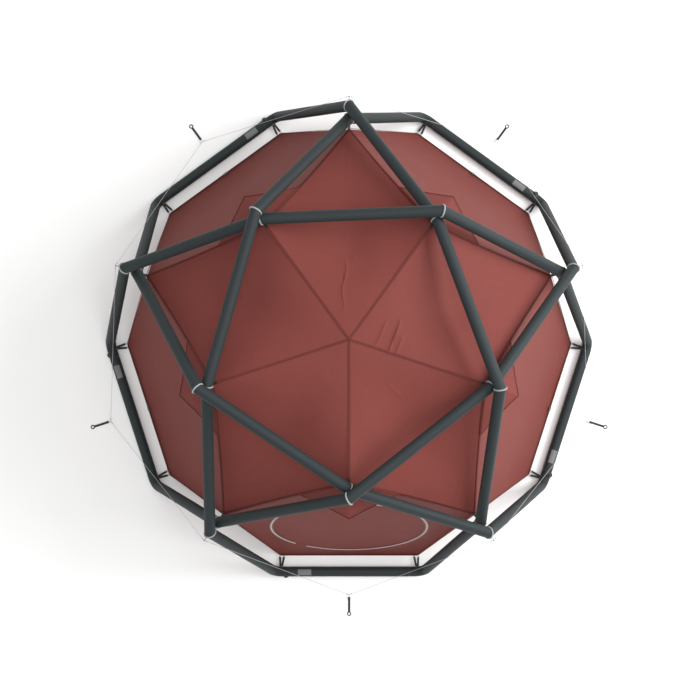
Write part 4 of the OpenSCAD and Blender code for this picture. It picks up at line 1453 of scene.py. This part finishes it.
class TENT_OT_straps(bpy.types.Operator):
    """Makes the V straps at the fly's base corners, their rings and the base tabs"""
    bl_idname = "tent.straps"
    bl_label = "Corner straps"

    def execute(self, context):
        t = Layout(context.scene)
        ring_d, ring_step, ring_height = .012, .028, .014
        webbing = finish(context, "webbing")
        straps, rings, thread = bmesh.new(), bmesh.new(), bmesh.new()
        for k in FIFTHS:
            for e in (1, 6):
                az = (180 if e == 1 else 0) + 72 * k
                way = 1 if e == 1 else -1
                away = (t.base(az + 36 * way) - t.base(az)).normalized()
                for s in (0, 1):
                    at = (polar(t.fly_corner_r + ring_d / 2, az, ring_height) + away * (ring_step * s)
                          + polar(.001 if s == 0 else -.009 * sin(radians(18)) + .002, az, 0))
                    c = t.base(az) + away * (.036, .046)[s]
                    w = at - c
                    side = (w - away * w.dot(away)).normalized()
                    on_tube = c + side * (t.tube_r + .0006)
                    d = (on_tube - at).normalized()
                    torus(rings, at, UP.lerp(d, .25), .0043, .0012, sides=8, steps=24)
                    lift = side.cross(away).normalized()
                    if lift.z < 0:
                        lift = -lift
                    line = curve_through([at + d * .0048, at.lerp(on_tube, .4) + UP * .0004,
                                          at.lerp(on_tube, .8), on_tube + lift * .002], 4)
                    ribbon(straps, line, .0140, .0020, up=(UP - d * UP.dot(d)).normalized(), lift=False)
                    arc = [c + (side * cos(a) + lift * sin(a)) * (t.tube_r + .0007)
                           for a in spread(-.05, 1.10, 12)]
                    ups = [(p - c).normalized() for p in arc]
                    ribbon(straps, arc, .014, .0016, up=ups, lift=False)
        for k in (0, 1, 2, 4):
            m = t.wall(54 + 72 * k)
            n = (m.to_3x3() @ UP).normalized()
            ribbon(straps, [m @ Vector((0, v, .0024)) for v in (-.002, .012, .03, .041)], .030, .0018,
                   up=n)
            left, right, low, high = -.011, .011, .004, .038
            for a, b in (((left, low), (left, high)), ((right, low), (right, high)),
                         ((left, low), (right, low)), ((left, high), (right, high))):
                stitch_row(thread, [m @ Vector((*a, .0043)), m @ Vector((*b, .0043))], n, radius=.0006)
        piece(straps, "corner_webbing", webbing,
              replaces=["corner_straps", "base_tabs"], wrap=.02)
        piece(thread, "tab_stitching", finish(context, "black thread"))
        piece(rings, "corner_rings_moulded", finish(context, "black plastic"),
              replaces=["corner_rings"], wrap=2 * pi * .0012)
        return {"FINISHED"}


class TENT_OT_hooks(bpy.types.Operator):
    """Makes the hooks between the fly and the inner beams and the guy line loops"""
    bl_idname = "tent.hooks"
    bl_label = "Hooks and loops"

    def execute(self, context):
        y, t = context.scene.tent_fly, Layout(context.scene)
        hooks, bands = bmesh.new(), bmesh.new()
        inner = (t.dome_r - t.gap - 2 * t.in_r)
        for k in FIFTHS:
            for az, r, z in ((54 + 72 * k, t.top_r, t.top_h), (18 + 72 * k, t.top_h, t.top_r)):
                q = polar(r, az, z) / t.dome_r
                far = q * (inner - .0045) + UP * t.tube_r
                near = q * (inner - y.hook_gap + .0032) + UP * t.tube_r
                tang = polar(1, az + 90, 0)
                up_slope = q.cross(tang).normalized()
                # toggle through a short loop of webbing
                rod(hooks, [near + (far - near) * x for x in (0, .2, .5, .8, 1)], .0036, 12, up=tang)
                torus(hooks, near.lerp(far, .5), q, .0044, .0014, sides=8, steps=20)
                tab = [near + up_slope * x - q * z for x, z in
                       ((.034, .004), (.018, .0015), (0, 0), (-.018, .0015), (-.034, .004))]
                ribbon(bands, tab, .016, .0014, up=q, lift=False)
        piece(hooks, "fly_toggles", finish(context, "black plastic"),
              replaces=["node_hooks"], wrap=2 * pi * .0036)
        piece(bands, "fly_corner_tabs", finish(context, "webbing"), wrap=.032)
        loops = bmesh.new()
        start = LINE[0]
        at = polar(hypot(start.x, start.y), -54, start.z)
        c = t.mid(-54, 1)
        d = (at - c).normalized()
        side = d.cross(UP).normalized()
        for k in FIFTHS:
            m = turn(72 * k)
            a, b = c + d * (t.out_r + .006), at + d * .002
            for shift in (-.0026, .0026):
                ribbon(loops, [m @ (a + side * shift * .4), m @ (a.lerp(b, .5) + side * shift),
                               m @ (b + side * shift * .4)], .0085, .0014, up=(m.to_3x3() @ side), lift=False)
            rod(loops, [m @ (b - side * .0045), m @ b, m @ (b + side * .0045)], .0022, 10,
                up=m.to_3x3() @ d)
        piece(loops, "guy_webbing", finish(context, "webbing"), replaces=["guy_loops"],
              wrap=.017)
        return {"FINISHED"}


class TENT_OT_valves(bpy.types.Operator):
    """Makes the inflation valves with their hinged caps and dresses the sewn patches"""
    bl_idname = "tent.valves"
    bl_label = "Valves"

    def execute(self, context):
        s, t = context.scene.tent_fittings, Layout(context.scene)
        black = finish(context, "black plastic")
        lean, neck = radians(35), .006
        bodies = bmesh.new()
        for k in FIFTHS:
            m = (t.ground_beam(k) @ Matrix.Translation((s.valve_at, 0, 0)) @ Matrix.Rotation(lean, 4, "X")
                 @ Matrix.Translation((0, 0, t.tube_r + .0003)))
            r, c = s.valve_d / 2, s.cap_d / 2
            lathe(bodies, [(0, .003), (c - .006, .003), (c - .006, neck - .0004), (c - .0052, neck),
                           (c - .0036, neck), (c - .003, neck - .0006), (c - .003, .0028),
                           (c - .001, .0024), (r - .004, .0018), (r - .0012, .0012), (r, .0002),
                           (r - .001, -.003), (r - .002, -.0068)], m)
            for a in spread(0, 2 * pi, 18)[:-1]:
                block(bodies, (.0052, .0011, .0012), m @ Matrix.Rotation(a, 4, "Z")
                      @ Matrix.Translation((r - .0052, 0, .0019)), .0003)
            bm = bmesh.new()
            lid = m @ Matrix.Translation((0, 0, neck + .0003))
            lathe(bm, [(0, .0002), (c - .0012, .0002), (c - .0002, .0008), (c, .0016),
                       (c - .0002, .0044), (c - .0010, .0056), (c - .0026, .0060), (c - .0042, .0056),
                       (c - .0052, .0046), (0, .0044)], lid)
            for a in spread(0, 2 * pi, 24)[:-1]:
                block(bm, (.0010, .0012, .0034), lid @ Matrix.Rotation(a, 4, "Z")
                      @ Matrix.Translation((c - .0001, 0, .0030)), .0003)
            block(bm, (.018, .0026, .0016), lid @ Matrix.Translation((0, 0, .0050)), .0006)
            block(bm, (.0072, .0092, .0018), lid @ Matrix.Translation((c + .0014, 0, .0011)), .0006)
            piece(bm, f"valve_cap_moulded_{k + 1}", black, body=f"cap_{k + 1}",
                  replaces=[f"valve_cap_{k + 1}"])
        piece(bodies, "valve_flanges", black, replaces=["valve_bodies"])
        dress(["care_patches"], finish(context, "patch"))
        thread = bmesh.new()
        for k in FIFTHS:
            m = t.ground_beam(k)
            r = t.tube_r + .0012
            for side in (-.0165, .0165):
                h = sqrt(r * r - side * side)
                stitch_row(thread, [m @ Vector((s.patch_at + x, side, h)) for x in (.004, .086)],
                           (m.to_3x3() @ Vector((0, side, h))).normalized())
        piece(thread, "patch_stitching", finish(context, "black thread"))
        return {"FINISHED"}


class TENT_PT_panel(bpy.types.Panel):
    """Lists the pieces and their sizes"""
    bl_idname = "TENT_PT_panel"
    bl_label = "Dome tent"
    bl_space_type = "VIEW_3D"
    bl_region_type = "UI"
    bl_category = "Dome tent"

    def draw(self, context):
        for group, kind in SETTINGS.items():
            box = self.layout.box()
            for name in kind.__annotations__:
                box.prop(getattr(context.scene, group), name)
        for operator in OPERATORS:
            self.layout.operator(operator.bl_idname)


OPERATORS = [TENT_OT_stage, TENT_OT_guy_lines, TENT_OT_air_frame, TENT_OT_piping, TENT_OT_roof,
             TENT_OT_walls, TENT_OT_hoods, TENT_OT_groundsheet, TENT_OT_door, TENT_OT_straps,
             TENT_OT_hooks, TENT_OT_valves]
CLASSES = [*SETTINGS.values(), *OPERATORS, TENT_PT_panel]


def register():
    for kind in CLASSES:
        bpy.utils.register_class(kind)
    for name, kind in SETTINGS.items():
        setattr(bpy.types.Scene, name, bpy.props.PointerProperty(type=kind))


def unregister():
    for name in SETTINGS:
        delattr(bpy.types.Scene, name)
    for kind in reversed(CLASSES):
        bpy.utils.unregister_class(kind)


def main():
    register()
    for operator in OPERATORS:
        group, name = operator.bl_idname.split(".")
        result = getattr(getattr(bpy.ops, group), name)()
        if result != {"FINISHED"}:
            raise RuntimeError(f"{operator.bl_label} did not finish")


if __name__ == "__main__":
    main()
